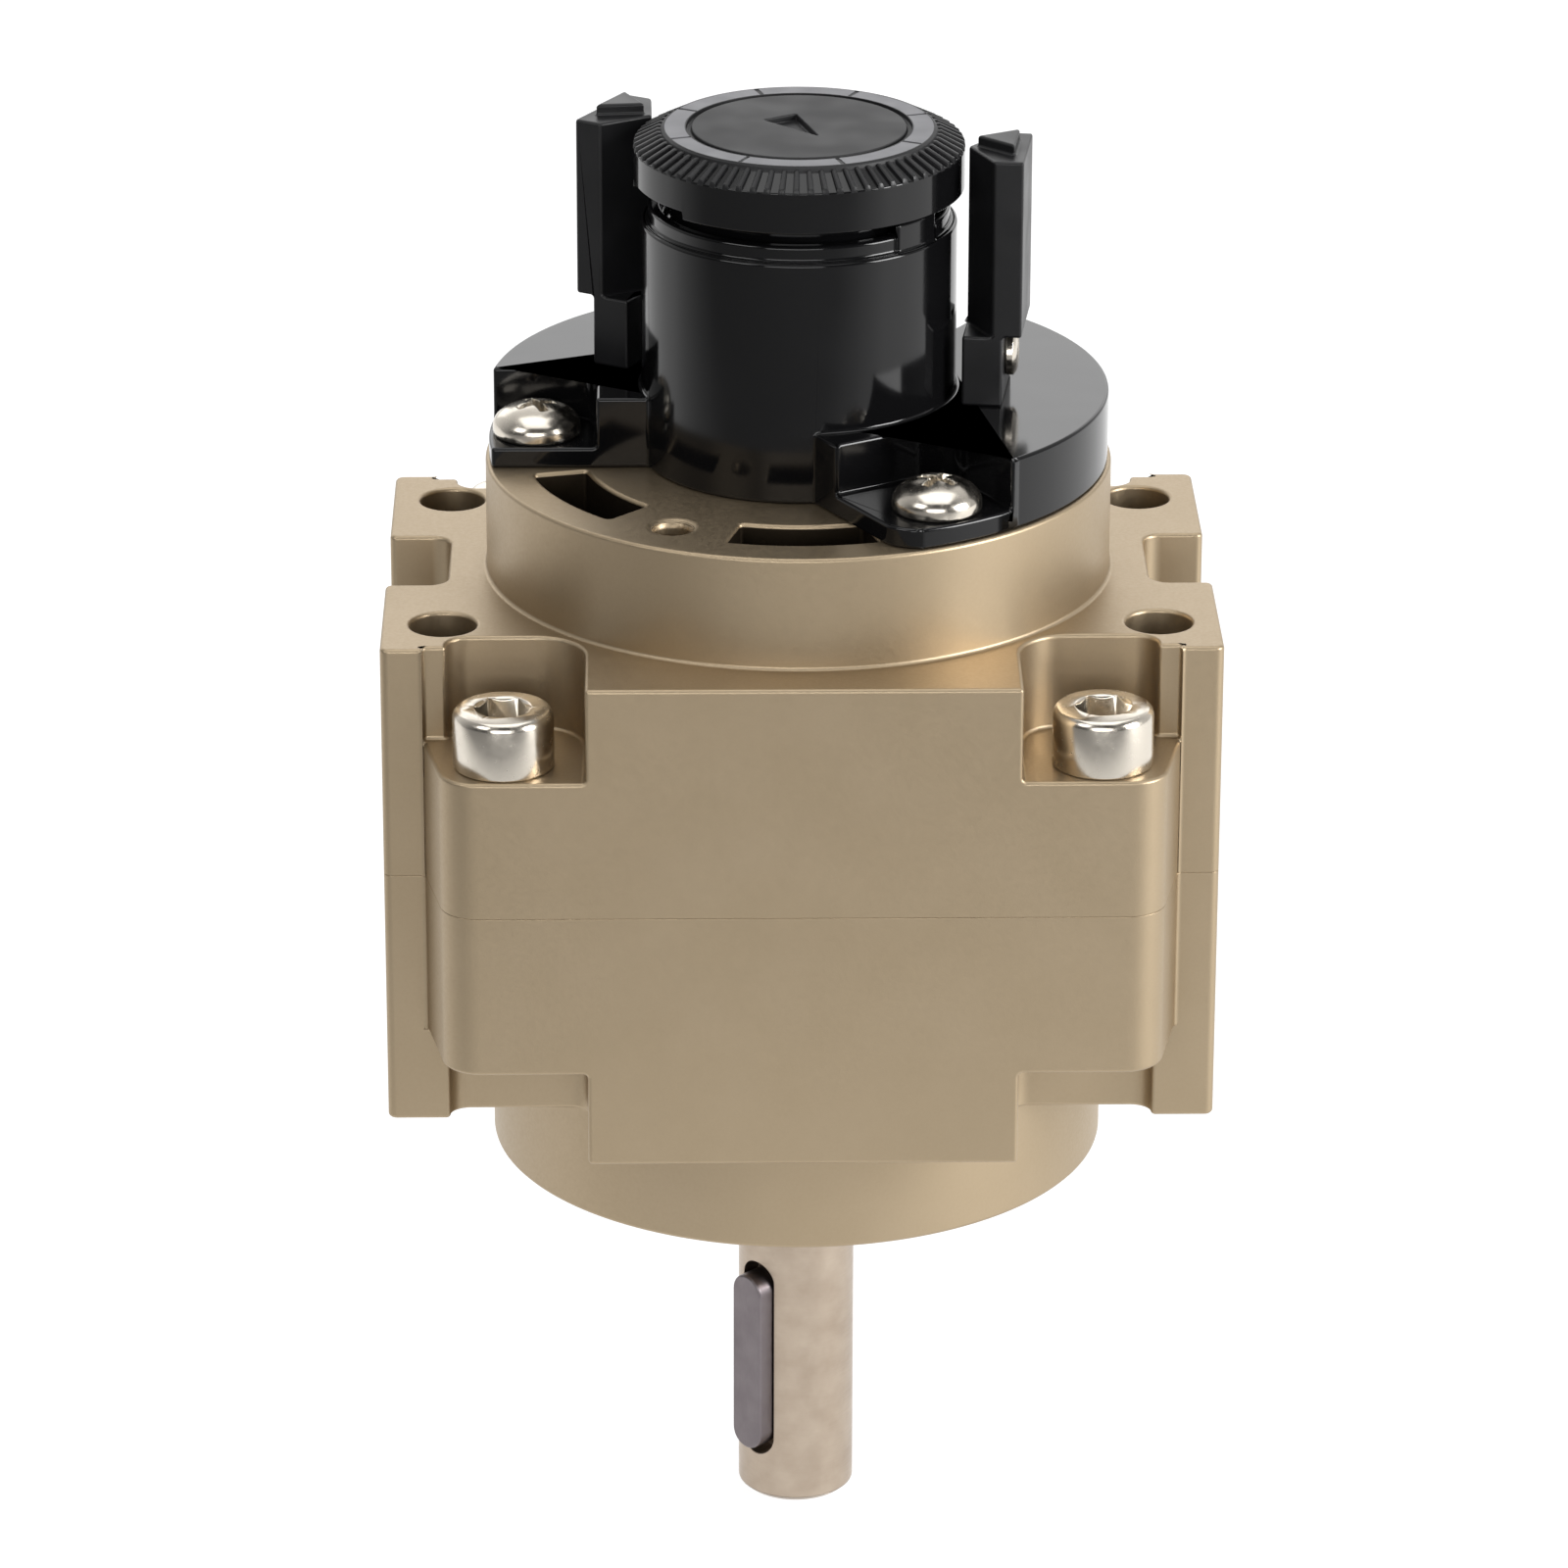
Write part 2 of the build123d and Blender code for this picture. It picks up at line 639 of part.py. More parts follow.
# Vane shaft: keyed output end, journals, hub with its vane, and the upper stub with a flat
half_profile = [
    (0, shaft_end),
    (shaft_r - shaft_end_break, shaft_end),
    (shaft_r, shaft_end + shaft_end_break),
    (shaft_r, low_step),
    (journal_r, low_step),
    (journal_r, chamber_floor + running_gap),
    (hub_r, chamber_floor + running_gap),
    (hub_r, chamber_roof - running_gap),
    (journal_r, chamber_roof - running_gap),
    (journal_r, high_bearing_z),
    (shaft_r, high_bearing_z),
    (shaft_r, stub_z),
    (stub_r, stub_z),
    (stub_r, stub_top - shaft_end_break),
    (stub_r - shaft_end_break, stub_top),
    (0, stub_top),
]
vane_tip = chamber_r - chamber_gap
with BuildPart() as vane_shaft:
    with BuildSketch(Plane.XZ):
        Polygon(*half_profile, align=None)
    revolve(axis=Axis.Z)
    with BuildSketch(around(rest_angle, chamber_floor + chamber_gap + seal_lip)):
        with Locations(((vane_tip - seal_lip) / 2, 0)):
            Rectangle(vane_tip - seal_lip, vane_t)
    extrude(amount=2 * (chamber_half_h - chamber_gap - seal_lip))
    with BuildSketch(facing(rest_angle, shaft_r + key_stand - key_h, key_z)):
        SlotOverall(keyway_len, key_w + 2 * fit_gap)
    extrude(amount=key_h, mode=Mode.SUBTRACT)
    with BuildSketch(around(rest_angle + 180, stub_z)):
        with Locations((stub_flat + stub_r, 0)):
            Rectangle(2 * stub_r, 4 * stub_r)
    extrude(amount=stub_top - stub_z, mode=Mode.SUBTRACT)
vane_shaft.part.label = "vane_shaft"
export_step(vane_shaft.part, "parts/vane_shaft.step")

# Rubber moulded round the vane's three free edges
with BuildPart() as vane_seal:
    with BuildSketch(around(rest_angle, chamber_floor + chamber_gap)):
        with Locations(((hub_r + vane_tip) / 2, 0)):
            Rectangle(vane_tip - hub_r, seal_t)
    extrude(amount=2 * (chamber_half_h - chamber_gap))
    with BuildSketch(around(rest_angle, chamber_floor + chamber_gap + seal_lip)):
        with Locations(((vane_tip - seal_lip) / 2, 0)):
            Rectangle(vane_tip - seal_lip, 2 * seal_t)
    extrude(amount=2 * (chamber_half_h - chamber_gap - seal_lip), mode=Mode.SUBTRACT)
    with BuildSketch(Plane.XY.offset(chamber_floor)):
        Circle(hub_r)
    extrude(amount=2 * chamber_half_h, mode=Mode.SUBTRACT)
    with BuildSketch(Plane.XY.offset(chamber_floor)):
        Circle(chamber_r - chamber_gap)
    extrude(amount=2 * chamber_half_h, mode=Mode.INTERSECT)
vane_seal.part.label = "vane_seal"
export_step(vane_seal.part, "parts/vane_seal.step")

# Parallel key, upright in its keyway
with BuildPart() as shaft_key:
    with BuildSketch(facing(rest_angle, shaft_r + key_stand - key_h, key_z)):
        SlotOverall(key_len, key_w)
    extrude(amount=key_h)
    outer_face = shaft_key.faces().sort_by_distance((0, 0, key_z))[-1]
    chamfer(outer_face.edges(), key_break)
shaft_key.part.label = "shaft_key"
export_step(shaft_key.part, "parts/shaft_key.step")

# Two ball bearings, each an outer race, an inner race, a cage and its balls
bearing_floor = {"lower": low_bearing_z, "upper": high_bearing_z}
for place, floor_z in bearing_floor.items():
    with BuildPart() as outer_race:
        with BuildSketch(Plane.XY.offset(floor_z)):
            Circle(bearing_r)
            Circle(race_outer_r, mode=Mode.SUBTRACT)
        extrude(amount=bearing_w)
        with Locations((0, 0, floor_z + bearing_w / 2)):
            Torus(ball_track_r, ball_r + ball_gap, mode=Mode.SUBTRACT)
    outer_race.part.label = f"{place}_bearing_outer_race"
    export_step(outer_race.part, f"parts/{place}_bearing_outer_race.step")

    with BuildPart() as inner_race:
        with BuildSketch(Plane.XY.offset(floor_z)):
            Circle(race_inner_r)
            Circle(shaft_r + fit_gap, mode=Mode.SUBTRACT)
        extrude(amount=bearing_w)
        with Locations((0, 0, floor_z + bearing_w / 2)):
            Torus(ball_track_r, ball_r + ball_gap, mode=Mode.SUBTRACT)
    inner_race.part.label = f"{place}_bearing_inner_race"
    export_step(inner_race.part, f"parts/{place}_bearing_inner_race.step")

    with BuildPart() as cage:
        with BuildSketch(Plane.XY.offset(floor_z + (bearing_w - cage_h) / 2)):
            Circle(ball_track_r + cage_t / 2)
            Circle(ball_track_r - cage_t / 2, mode=Mode.SUBTRACT)
        extrude(amount=cage_h)
        for step in range(ball_count):
            with BuildSketch(facing(360 / ball_count * step, ball_track_r / 2, floor_z + bearing_w / 2)):
                Circle(ball_r + ball_gap)
            extrude(amount=ball_track_r, mode=Mode.SUBTRACT)
    cage.part.label = f"{place}_bearing_cage"
    export_step(cage.part, f"parts/{place}_bearing_cage.step")

    with BuildPart() as balls:
        with Locations((0, 0, floor_z + bearing_w / 2)):
            with PolarLocations(ball_track_r, ball_count):
                Sphere(ball_r)
    balls.part.label = f"{place}_bearing_balls"
    export_step(balls.part, f"parts/{place}_bearing_balls.step")

# Shaft seals against the chamber, each behind a back-up washer
seal_places = {
    "lower": (low_step + backup_h, low_step),
    "upper": (high_bearing_z - seal_room, high_bearing_z - backup_h),
}
for place, (seal_z, washer_z) in seal_places.items():
    with BuildPart() as shaft_seal:
        with BuildSketch(Plane.XY.offset(seal_z)):
            Circle(shaft_seal_r)
            Circle(journal_r + running_gap, mode=Mode.SUBTRACT)
        extrude(amount=shaft_seal_h)
    shaft_seal.part.label = f"{place}_shaft_seal"
    export_step(shaft_seal.part, f"parts/{place}_shaft_seal.step")

    with BuildPart() as seal_washer:
        with BuildSketch(Plane.XY.offset(washer_z)):
            Circle(shaft_seal_r)
            Circle(journal_r + 2 * running_gap, mode=Mode.SUBTRACT)
        extrude(amount=backup_h)
    seal_washer.part.label = f"{place}_seal_washer"
    export_step(seal_washer.part, f"parts/{place}_seal_washer.step")

# Retaining rings that hold the bearings in, with two eyes for pliers
clip_floor = {"lower": spigot_low + clip_set_back, "upper": spigot_top - clip_set_back - clip_t}
clip_eye_reach = clip_r - clip_lug_r
for place, clip_z in clip_floor.items():
    with BuildPart() as retaining_ring:
        with BuildSketch(Plane.XY.offset(clip_z)):
            Circle(clip_r)
            Circle(clip_r - clip_w, mode=Mode.SUBTRACT)
            Polygon(*wedge(2 * clip_r, clip_open_deg), align=None, mode=Mode.SUBTRACT)
            for side in (-1, 1):
                eye_turn = radians(side * clip_open_deg / 2)
                with Locations((clip_eye_reach * cos(eye_turn), clip_eye_reach * sin(eye_turn))):
                    Circle(clip_lug_r)
                    Circle(clip_eye_r, mode=Mode.SUBTRACT)
        extrude(amount=clip_t)
    retaining_ring.part.label = f"{place}_retaining_ring"
    export_step(retaining_ring.part, f"parts/{place}_retaining_ring.step")

# Switch cover: round base with a cut-away front and three screw feet, round the housing's foot
housing_roof_z = housing_top - housing_roof
with BuildPart() as switch_cover:
    with BuildSketch(Plane.XY.offset(spigot_top)):
        Circle(cover_r)
    extrude(amount=cover_h)
    foot_turn = radians(cover_screw_turns[1])
    foot_side = (right_foot_half_w * sin(foot_turn), -right_foot_half_w * cos(foot_turn))
    foot_end = (foot_side[0] + 2 * cover_r * cos(foot_turn), foot_side[1] + 2 * cover_r * sin(foot_turn))
    with BuildSketch(Plane.XY.offset(spigot_top)):
        Polygon(
            (-2 * cover_r, -cut_front_y),
            (-housing_r / 2, -cut_front_y),
            foot_side,
            foot_end,
            (-2 * cover_r, foot_end[1]),
            align=None,
        )
    extrude(amount=cover_h, mode=Mode.SUBTRACT)
    foot_rim = switch_cover.edges().filter_by(Axis.Z)
    foot_rim = foot_rim.sort_by_distance((foot_end[0] / 2, foot_end[1] / 2, spigot_top + cover_h / 2))[0]
    fillet(foot_rim, right_foot_corner_r)
    for turn, reach, behind, ahead in foot_pockets:
        with BuildSketch(around(turn, foot_top)):
            Polygon(
                (reach, -behind),
                (2 * cover_r, -behind),
                (2 * cover_r, ahead),
                (reach, ahead),
                align=None,
            )
            fillet(vertices().sort_by(Axis.X)[:2], pocket_end_r)
        extrude(amount=cover_h, mode=Mode.SUBTRACT)
    with BuildSketch(Plane.XY.offset(spigot_top)):
        Circle(housing_r)
    extrude(amount=cover_h)
    with BuildSketch(Plane.XY.offset(spigot_top)):
        Circle(housing_r - housing_wall)
    extrude(amount=cover_h, mode=Mode.SUBTRACT)
    for turn in cover_screw_turns:
        with Locations(around(turn, foot_top) * Pos(cover_screw_circle, 0)):
            Hole(cap_hole_r + screw_hole_gap, foot_h)
switch_cover.part.label = "switch_cover"
export_step(switch_cover.part, "parts/switch_cover.step")

# Wall of the round housing, moulded in one with the cover
with BuildPart() as cover_housing:
    with BuildSketch(Plane.XY.offset(cover_top)):
        Circle(housing_r)
        Circle(housing_r - housing_wall, mode=Mode.SUBTRACT)
    extrude(amount=housing_roof_z - cover_top)
cover_housing.part.label = "cover_housing"
export_step(cover_housing.part, "parts/cover_housing.step")

# Roof of the housing, moulded in one with it, with the stop lug on its rim
with BuildPart() as cover_roof:
    with BuildSketch(Plane.XY.offset(housing_roof_z)):
        Circle(housing_r)
    extrude(amount=housing_roof)
    chamfer(cover_roof.faces().sort_by(Axis.Z)[-1].edges(), edge_break)
    with BuildSketch(Plane.XY.offset(housing_roof_z)):
        Circle(lever_hub_r + roof_gap)
    extrude(amount=housing_roof, mode=Mode.SUBTRACT)
    with BuildSketch(around(lug_turn, housing_top)):
        Circle(housing_r - edge_break)
        Circle(lug_in, mode=Mode.SUBTRACT)
        Polygon(*wedge(2 * housing_r, lug_spread), align=None, mode=Mode.INTERSECT)
    extrude(amount=dial_z - lug_gap)
cover_roof.part.label = "cover_roof"
export_step(cover_roof.part, "parts/cover_roof.step")

# Cover screws with domed heads and a cross recess
with BuildPart() as cover_screws:
    for turn in cover_screw_turns:
        with BuildSketch(around(turn, foot_top)):
            with Locations((cover_screw_circle, 0)):
                Circle(pan_r)
        extrude(amount=pan_h)
    domes = [e for e in cover_screws.edges() if abs(e.center().Z - foot_top - pan_h) < 0.01]
    fillet(domes, pan_h - pan_rim)
    for turn in cover_screw_turns:
        with BuildSketch(around(turn, foot_top)):
            with Locations((cover_screw_circle, 0)):
                Circle(cap_hole_r)
        extrude(amount=-m4_len)
        with BuildSketch(around(turn, foot_top + pan_h)):
            with Locations((cover_screw_circle, 0)):
                Rectangle(cross_len, cross_w, rotation=cross_turn)
                Rectangle(cross_w, cross_len, rotation=cross_turn)
        extrude(amount=-cross_depth, taper=cross_taper, mode=Mode.SUBTRACT)
cover_screws.part.label = "cover_screws"
export_step(cover_screws.part, "parts/cover_screws.step")

# Magnet lever: hub clamped on the shaft's upper end, with an arm to the magnet
hub_top = dial_low + socket_depth - lever_top_gap
magnet_z = lever_low + lever_arm_z + lever_arm_h / 2
with BuildPart() as magnet_lever:
    with BuildSketch(Plane.XY.offset(lever_low)):
        Circle(lever_hub_r)
    extrude(amount=hub_top - lever_low)
    with BuildSketch(around(rest_angle, lever_low + lever_arm_z)):
        with Locations((lever_reach / 2, 0)):
            Rectangle(lever_reach, lever_arm_w)
    extrude(amount=lever_arm_h)
    with BuildSketch(facing(rest_angle, lever_reach - magnet_t, magnet_z)):
        Circle(magnet_r + fit_gap)
    extrude(amount=2 * magnet_t, mode=Mode.SUBTRACT)
    with BuildSketch(around(rest_angle + 180, lever_low)):
        Circle(stub_r + fit_gap)
        with Locations((stub_flat + fit_gap + stub_r, 0)):
            Rectangle(2 * stub_r, 4 * stub_r, mode=Mode.SUBTRACT)
    extrude(amount=stub_top + running_gap - lever_low, mode=Mode.SUBTRACT)
    with BuildSketch(Plane.XY.offset(lever_low)):
        Circle(shaft_r + running_gap)
    extrude(amount=stub_z + running_gap - lever_low, mode=Mode.SUBTRACT)
    with BuildSketch(facing(rest_angle + 180, stub_flat, magnet_z)):
        Circle(set_screw_r + thread_gap)
    extrude(amount=lever_hub_r, mode=Mode.SUBTRACT)
magnet_lever.part.label = "magnet_lever"
export_step(magnet_lever.part, "parts/magnet_lever.step")

# Magnet in the lever's tip
with BuildPart() as lever_magnet:
    with BuildSketch(facing(rest_angle, lever_reach - magnet_t, magnet_z)):
        Circle(magnet_r)
    extrude(amount=magnet_t)
lever_magnet.part.label = "lever_magnet"
export_step(lever_magnet.part, "parts/lever_magnet.step")

# Set screw on the shaft's flat
with BuildPart() as lever_set_screw:
    with BuildSketch(facing(rest_angle + 180, stub_flat, magnet_z)):
        Circle(set_screw_r)
    extrude(amount=set_screw_len)
    with BuildSketch(facing(rest_angle + 180, stub_flat + set_screw_len, magnet_z)):
        RegularPolygon(set_screw_af / 2, 6, major_radius=False)
    extrude(amount=-set_screw_socket, mode=Mode.SUBTRACT)
lever_set_screw.part.label = "lever_set_screw"
export_step(lever_set_screw.part, "parts/lever_set_screw.step")

# Grooves that leave the ribs standing on the dial's bevel, halfway between the segment lines' ribs
rib_turn = segment_turn + 180 / rib_count
bevel_slope = dial_bevel_h / (dial_r - dial_ring_outer_r)
rib_floor_z = dial_top - (rib_in - dial_ring_outer_r) * bevel_slope - rib_groove_depth
rib_end_z = rib_floor_z - (dial_r + rib_groove_w - rib_in) * bevel_slope
with BuildPart() as rib_grooves:
    with BuildSketch(Plane.XZ):
        Polygon(
            (rib_in, rib_floor_z),
            (dial_r + rib_groove_w, rib_end_z),
            (dial_r + rib_groove_w, dial_top),
            (rib_in, dial_top),
            align=None,
        )
    revolve(axis=Axis.Z)
    with BuildSketch(Plane.XY.offset(rib_end_z)):
        with PolarLocations(dial_r, rib_count, start_angle=rib_turn):
            Rectangle(2 * (dial_r - dial_boss_r), rib_groove_w)
    extrude(amount=dial_top - rib_end_z, mode=Mode.INTERSECT)

# Dial: bevelled cap with ribs, a segmented ring, an arrow and a mark in line with the key
dial_profile = [
    (0, dial_low + dial_skirt_h),
    (dial_r - dial_wall, dial_rim),
    (dial_r - dial_wall, dial_low),
    (dial_r, dial_low),
    (dial_r, dial_rim),
    (dial_ring_outer_r, dial_top),
    (0, dial_top),
]
with BuildPart() as dial:
    with BuildSketch(Plane.XZ):
        Polygon(*dial_profile, align=None)
    revolve(axis=Axis.Z)
    with BuildSketch(Plane.XY.offset(housing_top + dial_boss_gap)):
        Circle(dial_boss_r)
    extrude(amount=dial_rim - housing_top - dial_boss_gap)
    with BuildSketch(Plane.XY.offset(housing_top + dial_boss_gap)):
        Circle(lever_hub_r + fit_gap)
    extrude(amount=hub_top - housing_top - dial_boss_gap, mode=Mode.SUBTRACT)
    with BuildSketch(Plane.XY.offset(dial_top)):
        Circle(dial_ring_inner_r)
        Circle(dial_ring_inner_r - dial_groove_w, mode=Mode.SUBTRACT)
        with PolarLocations(dial_ring_outer_r, segment_count, start_angle=segment_turn):
            Rectangle(2 * (dial_ring_outer_r - dial_ring_inner_r) + dial_groove_w, segment_line_w)
    extrude(amount=-dial_groove_depth, mode=Mode.SUBTRACT)
    add(rib_grooves.part, mode=Mode.SUBTRACT)
    with BuildSketch(around(arrow_turn, dial_top)):
        with Locations((-arrow_back, 0)):
            Triangle(a=arrow_w, b=arrow_side, c=arrow_side, rotation=-90)
    extrude(amount=-arrow_depth, mode=Mode.SUBTRACT)
    with BuildSketch(around(mark_turn, dial_low)):
        Polygon(
            (0, 0),
            (2 * dial_r, 0),
            (2 * dial_r * cos(radians(mark_sweep)), -2 * dial_r * sin(radians(mark_sweep))),
            align=None,
        )
        Circle(dial_boss_r, mode=Mode.SUBTRACT)
    extrude(amount=mark_lift, mode=Mode.SUBTRACT)
dial.part.label = "dial"
export_step(dial.part, "parts/dial.step")

# Switch blocks, which slide round the housing, each with its clamp screw
block_low = cover_top
for side, turn in block_turns.items():
    with BuildPart() as switch_block:
        with BuildSketch(around(turn, block_low)):
            with Locations(((block_tip + block_foot_out) / 2, 0)):
                Rectangle(block_foot_out - block_tip, 2 * block_half_t)
            Circle(block_foot_in, mode=Mode.SUBTRACT)
        extrude(amount=block_foot_h)
        with BuildSketch(around(turn, block_low + block_foot_h)):
            Polygon(
                (block_tip, 0),
                (block_shoulder, -block_half_t),
                (block_out, -block_half_t),
                (block_out, block_half_t),
                (block_shoulder, block_half_t),
                align=None,
            )
        extrude(amount=block_top_z - block_low - block_foot_h)
        with BuildSketch(around(turn, block_top_z)):
            Polygon(
                (pointer_tip, 0),
                (pointer_base, -pointer_half_w),
                (pointer_base, pointer_half_w),
                align=None,
            )
        extrude(amount=pointer_h)
        with BuildSketch(facing(turn, block_foot_out - m3_len, block_low + m3_z)):
            Circle(m3_r + thread_gap)
        extrude(amount=m3_len, mode=Mode.SUBTRACT)
    switch_block.part.label = f"{side}_switch_block"
    export_step(switch_block.part, f"parts/{side}_switch_block.step")

    with BuildPart() as block_screw:
        with BuildSketch(facing(turn, block_foot_out, block_low + m3_z)):
            Circle(m3_head_r)
        extrude(amount=m3_head_h)
        with BuildSketch(facing(turn, block_foot_out, block_low + m3_z)):
            Circle(m3_r)
        extrude(amount=-m3_len + thread_gap)
        with BuildSketch(facing(turn, block_foot_out + m3_head_h, block_low + m3_z)):
            Rectangle(2 * m3_head_r, m3_head_h / 2)
        extrude(amount=-m3_head_h / 2, mode=Mode.SUBTRACT)
    block_screw.part.label = f"{side}_block_screw"
    export_step(block_screw.part, f"parts/{side}_block_screw.step")
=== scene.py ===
"""Looks of a vane-type pneumatic rotary actuator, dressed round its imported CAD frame.

Lengths in the classes are millimetres in the CAD's frame: the shaft axis is Z, Z = 0 is the
lower mounting face and the front is -Y. A mesh turns to metres once, when it becomes a piece.
"""

import logging
import math
from dataclasses import dataclass, field
from enum import Enum
from typing import Callable, Iterable, Sequence

import bmesh
import bpy
from mathutils import Matrix, Vector


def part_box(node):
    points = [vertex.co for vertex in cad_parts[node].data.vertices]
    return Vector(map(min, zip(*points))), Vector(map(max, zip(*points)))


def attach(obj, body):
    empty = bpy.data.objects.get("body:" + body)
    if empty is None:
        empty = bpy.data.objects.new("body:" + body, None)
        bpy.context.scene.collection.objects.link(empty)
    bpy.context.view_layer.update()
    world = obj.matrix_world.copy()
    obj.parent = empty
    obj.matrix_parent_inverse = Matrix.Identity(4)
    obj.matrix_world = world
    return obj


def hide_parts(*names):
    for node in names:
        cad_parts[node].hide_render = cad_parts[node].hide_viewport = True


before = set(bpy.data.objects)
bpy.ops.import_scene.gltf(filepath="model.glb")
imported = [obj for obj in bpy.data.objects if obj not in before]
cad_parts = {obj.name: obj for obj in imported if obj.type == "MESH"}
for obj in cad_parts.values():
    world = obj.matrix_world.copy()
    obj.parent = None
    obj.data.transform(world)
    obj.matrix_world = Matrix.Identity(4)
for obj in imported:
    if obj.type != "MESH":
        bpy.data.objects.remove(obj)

LOG = logging.getLogger("actuator")
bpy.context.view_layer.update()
METRES = 0.001
SHARP = math.radians(30)
Point = tuple[float, float]
Corner = tuple[float, float, float]


class Operation(Enum):
    """What a boolean does with its tool."""

    CUT = "DIFFERENCE"
    JOIN = "UNION"


class Body(Enum):
    """The rigid bodies of the frame that pieces ride on."""

    HOUSING = "housing"
    ROTOR = "rotor"
    LOWER_BALLS = "lower_ball_set"
    UPPER_BALLS = "upper_ball_set"
    LEFT_SWITCH = "left_switch"
    RIGHT_SWITCH = "right_switch"


def linear(code: str) -> tuple[float, float, float, float]:
    """Turn an sRGB hex colour into the linear colour that shaders take.

    Args:
        code: A colour such as "#97896F".

    Returns:
        Linear red, green, blue and an alpha of 1.
    """
    parts = [int(code[i:i + 2], 16) / 255 for i in (1, 3, 5)]
    lin = [c / 12.92 if c <= 0.04045 else ((c + 0.055) / 1.055) ** 2.4 for c in parts]
    return (lin[0], lin[1], lin[2], 1.0)


def add_node(tree: bpy.types.NodeTree, kind: str, settings: dict | None = None,
             links: dict | None = None) -> bpy.types.Node:
    """Add a node with its settings and incoming links.

    Args:
        tree: Node tree that the node goes into.
        kind: Blender's name for the node type.
        settings: Input names or numbers, or node attributes, and their values.
        links: Input names or numbers and the sockets that feed them.

    Returns:
        The new node.
    """
    node = tree.nodes.new(kind)
    for key, value in (settings or {}).items():
        if isinstance(key, int) or key in node.inputs:
            node.inputs[key].default_value = value
        else:
            setattr(node, key, value)
    for key, socket in (links or {}).items():
        tree.links.new(socket, node.inputs[key])
    return node


def new_material(name: str) -> tuple[bpy.types.Material, bpy.types.NodeTree, bpy.types.Node]:
    """Make an empty material with a Principled shader.

    Args:
        name: The material's name.

    Returns:
        The material, its tree and its Principled node.
    """
    material = bpy.data.materials.new(name)
    material.use_nodes = True
    tree = material.node_tree
    tree.nodes.clear()
    shader = add_node(tree, "ShaderNodeBsdfPrincipled")
    add_node(tree, "ShaderNodeOutputMaterial", links={"Surface": shader.outputs["BSDF"]})
    return material, tree, shader


def mesh_object(name: str, bm: bmesh.types.BMesh) -> bpy.types.Object:
    """Turn a bmesh into a linked object and free the bmesh."""
    mesh = bpy.data.meshes.new(name)
    bm.to_mesh(mesh)
    bm.free()
    obj = bpy.data.objects.new(name, mesh)
    bpy.context.scene.collection.objects.link(obj)
    return obj


def rounded(corners: Sequence[Corner], steps: int = 8) -> list[Point]:
    """Round the corners of a closed outline.

    Args:
        corners: x, y and corner radius of each corner, in order round the outline.
        steps: Segments in each rounded corner.

    Returns:
        The outline's points.
    """
    points: list[Point] = []
    count = len(corners)
    for i, (x, y, radius) in enumerate(corners):
        here = Vector((x, y))
        back = (Vector(corners[i - 1][:2]) - here).normalized()
        ahead = (Vector(corners[(i + 1) % count][:2]) - here).normalized()
        if radius <= 0:
            points.append((x, y))
            continue
        half = back.angle(ahead) / 2
        reach = radius / math.tan(half)
        centre = here + (back + ahead).normalized() * (radius / math.sin(half))
        start = here + back * reach - centre
        sweep = start.angle_signed(here + ahead * reach - centre)
        for k in range(steps + 1):
            turned = Matrix.Rotation(-sweep * k / steps, 2) @ start
            points.append((centre.x + turned.x, centre.y + turned.y))
    return points


def arc(radius: float, start: float, end: float, steps: int) -> list[Point]:
    """Points along an arc about the origin, both ends included; angles are in degrees."""
    turns = [math.radians(start + (end - start) * k / steps) for k in range(steps + 1)]
    return [(radius * math.cos(t), radius * math.sin(t)) for t in turns]


def prism(name: str, outline: Sequence[Point], low: float, high: float,
          place: Matrix | None = None, taper: float = 0.0) -> bpy.types.Object:
    """Stand an outline up into a closed prism.

    Args:
        name: The object's name.
        outline: Points of the closed outline.
        low: Height of the bottom face.
        high: Height of the top face.
        place: Optional placing of the finished prism.
        taper: How much smaller the bottom is, as a share of its size.

    Returns:
        The prism.
    """
    bm = bmesh.new()
    middle = Vector((sum(p[0] for p in outline), sum(p[1] for p in outline))) / len(outline)
    foot = [middle + (Vector(p) - middle) * (1 - taper) for p in outline]
    bottom = [bm.verts.new((p.x, p.y, low)) for p in foot]
    top = [bm.verts.new((x, y, high)) for x, y in outline]
    bm.faces.new(list(reversed(bottom)))
    bm.faces.new(top)
    for i in range(len(outline)):
        j = (i + 1) % len(outline)
        bm.faces.new((bottom[i], bottom[j], top[j], top[i]))
    bmesh.ops.recalc_face_normals(bm, faces=bm.faces)
    if place is not None:
        bm.transform(place)
    return mesh_object(name, bm)


def lathe(name: str, profile: Sequence[Point], steps: int = 128, ring: bool = False,
          place: Matrix | None = None) -> bpy.types.Object:
    """Turn a profile about Z.

    Args:
        name: The object's name.
        profile: Radius and height of each point, none of them on the axis.
        steps: Segments round the axis.
        ring: True for a closed profile, False for a solid with flat ends.
        place: Optional placing of the finished solid.

    Returns:
        The turned solid.
    """
    bm = bmesh.new()
    hoops = []
    for radius, height in profile:
        hoop = [(radius * math.cos(math.tau * k / steps), radius * math.sin(math.tau * k / steps))
                for k in range(steps)]
        hoops.append([bm.verts.new((x, y, height)) for x, y in hoop])
    pairs = list(zip(hoops, hoops[1:]))
    if ring:
        pairs.append((hoops[-1], hoops[0]))
    else:
        bm.faces.new(hoops[0])
        bm.faces.new(hoops[-1])
    for low, high in pairs:
        for k in range(steps):
            m = (k + 1) % steps
            bm.faces.new((low[k], low[m], high[m], high[k]))
    bmesh.ops.recalc_face_normals(bm, faces=bm.faces)
    if place is not None:
        bm.transform(place)
    return mesh_object(name, bm)


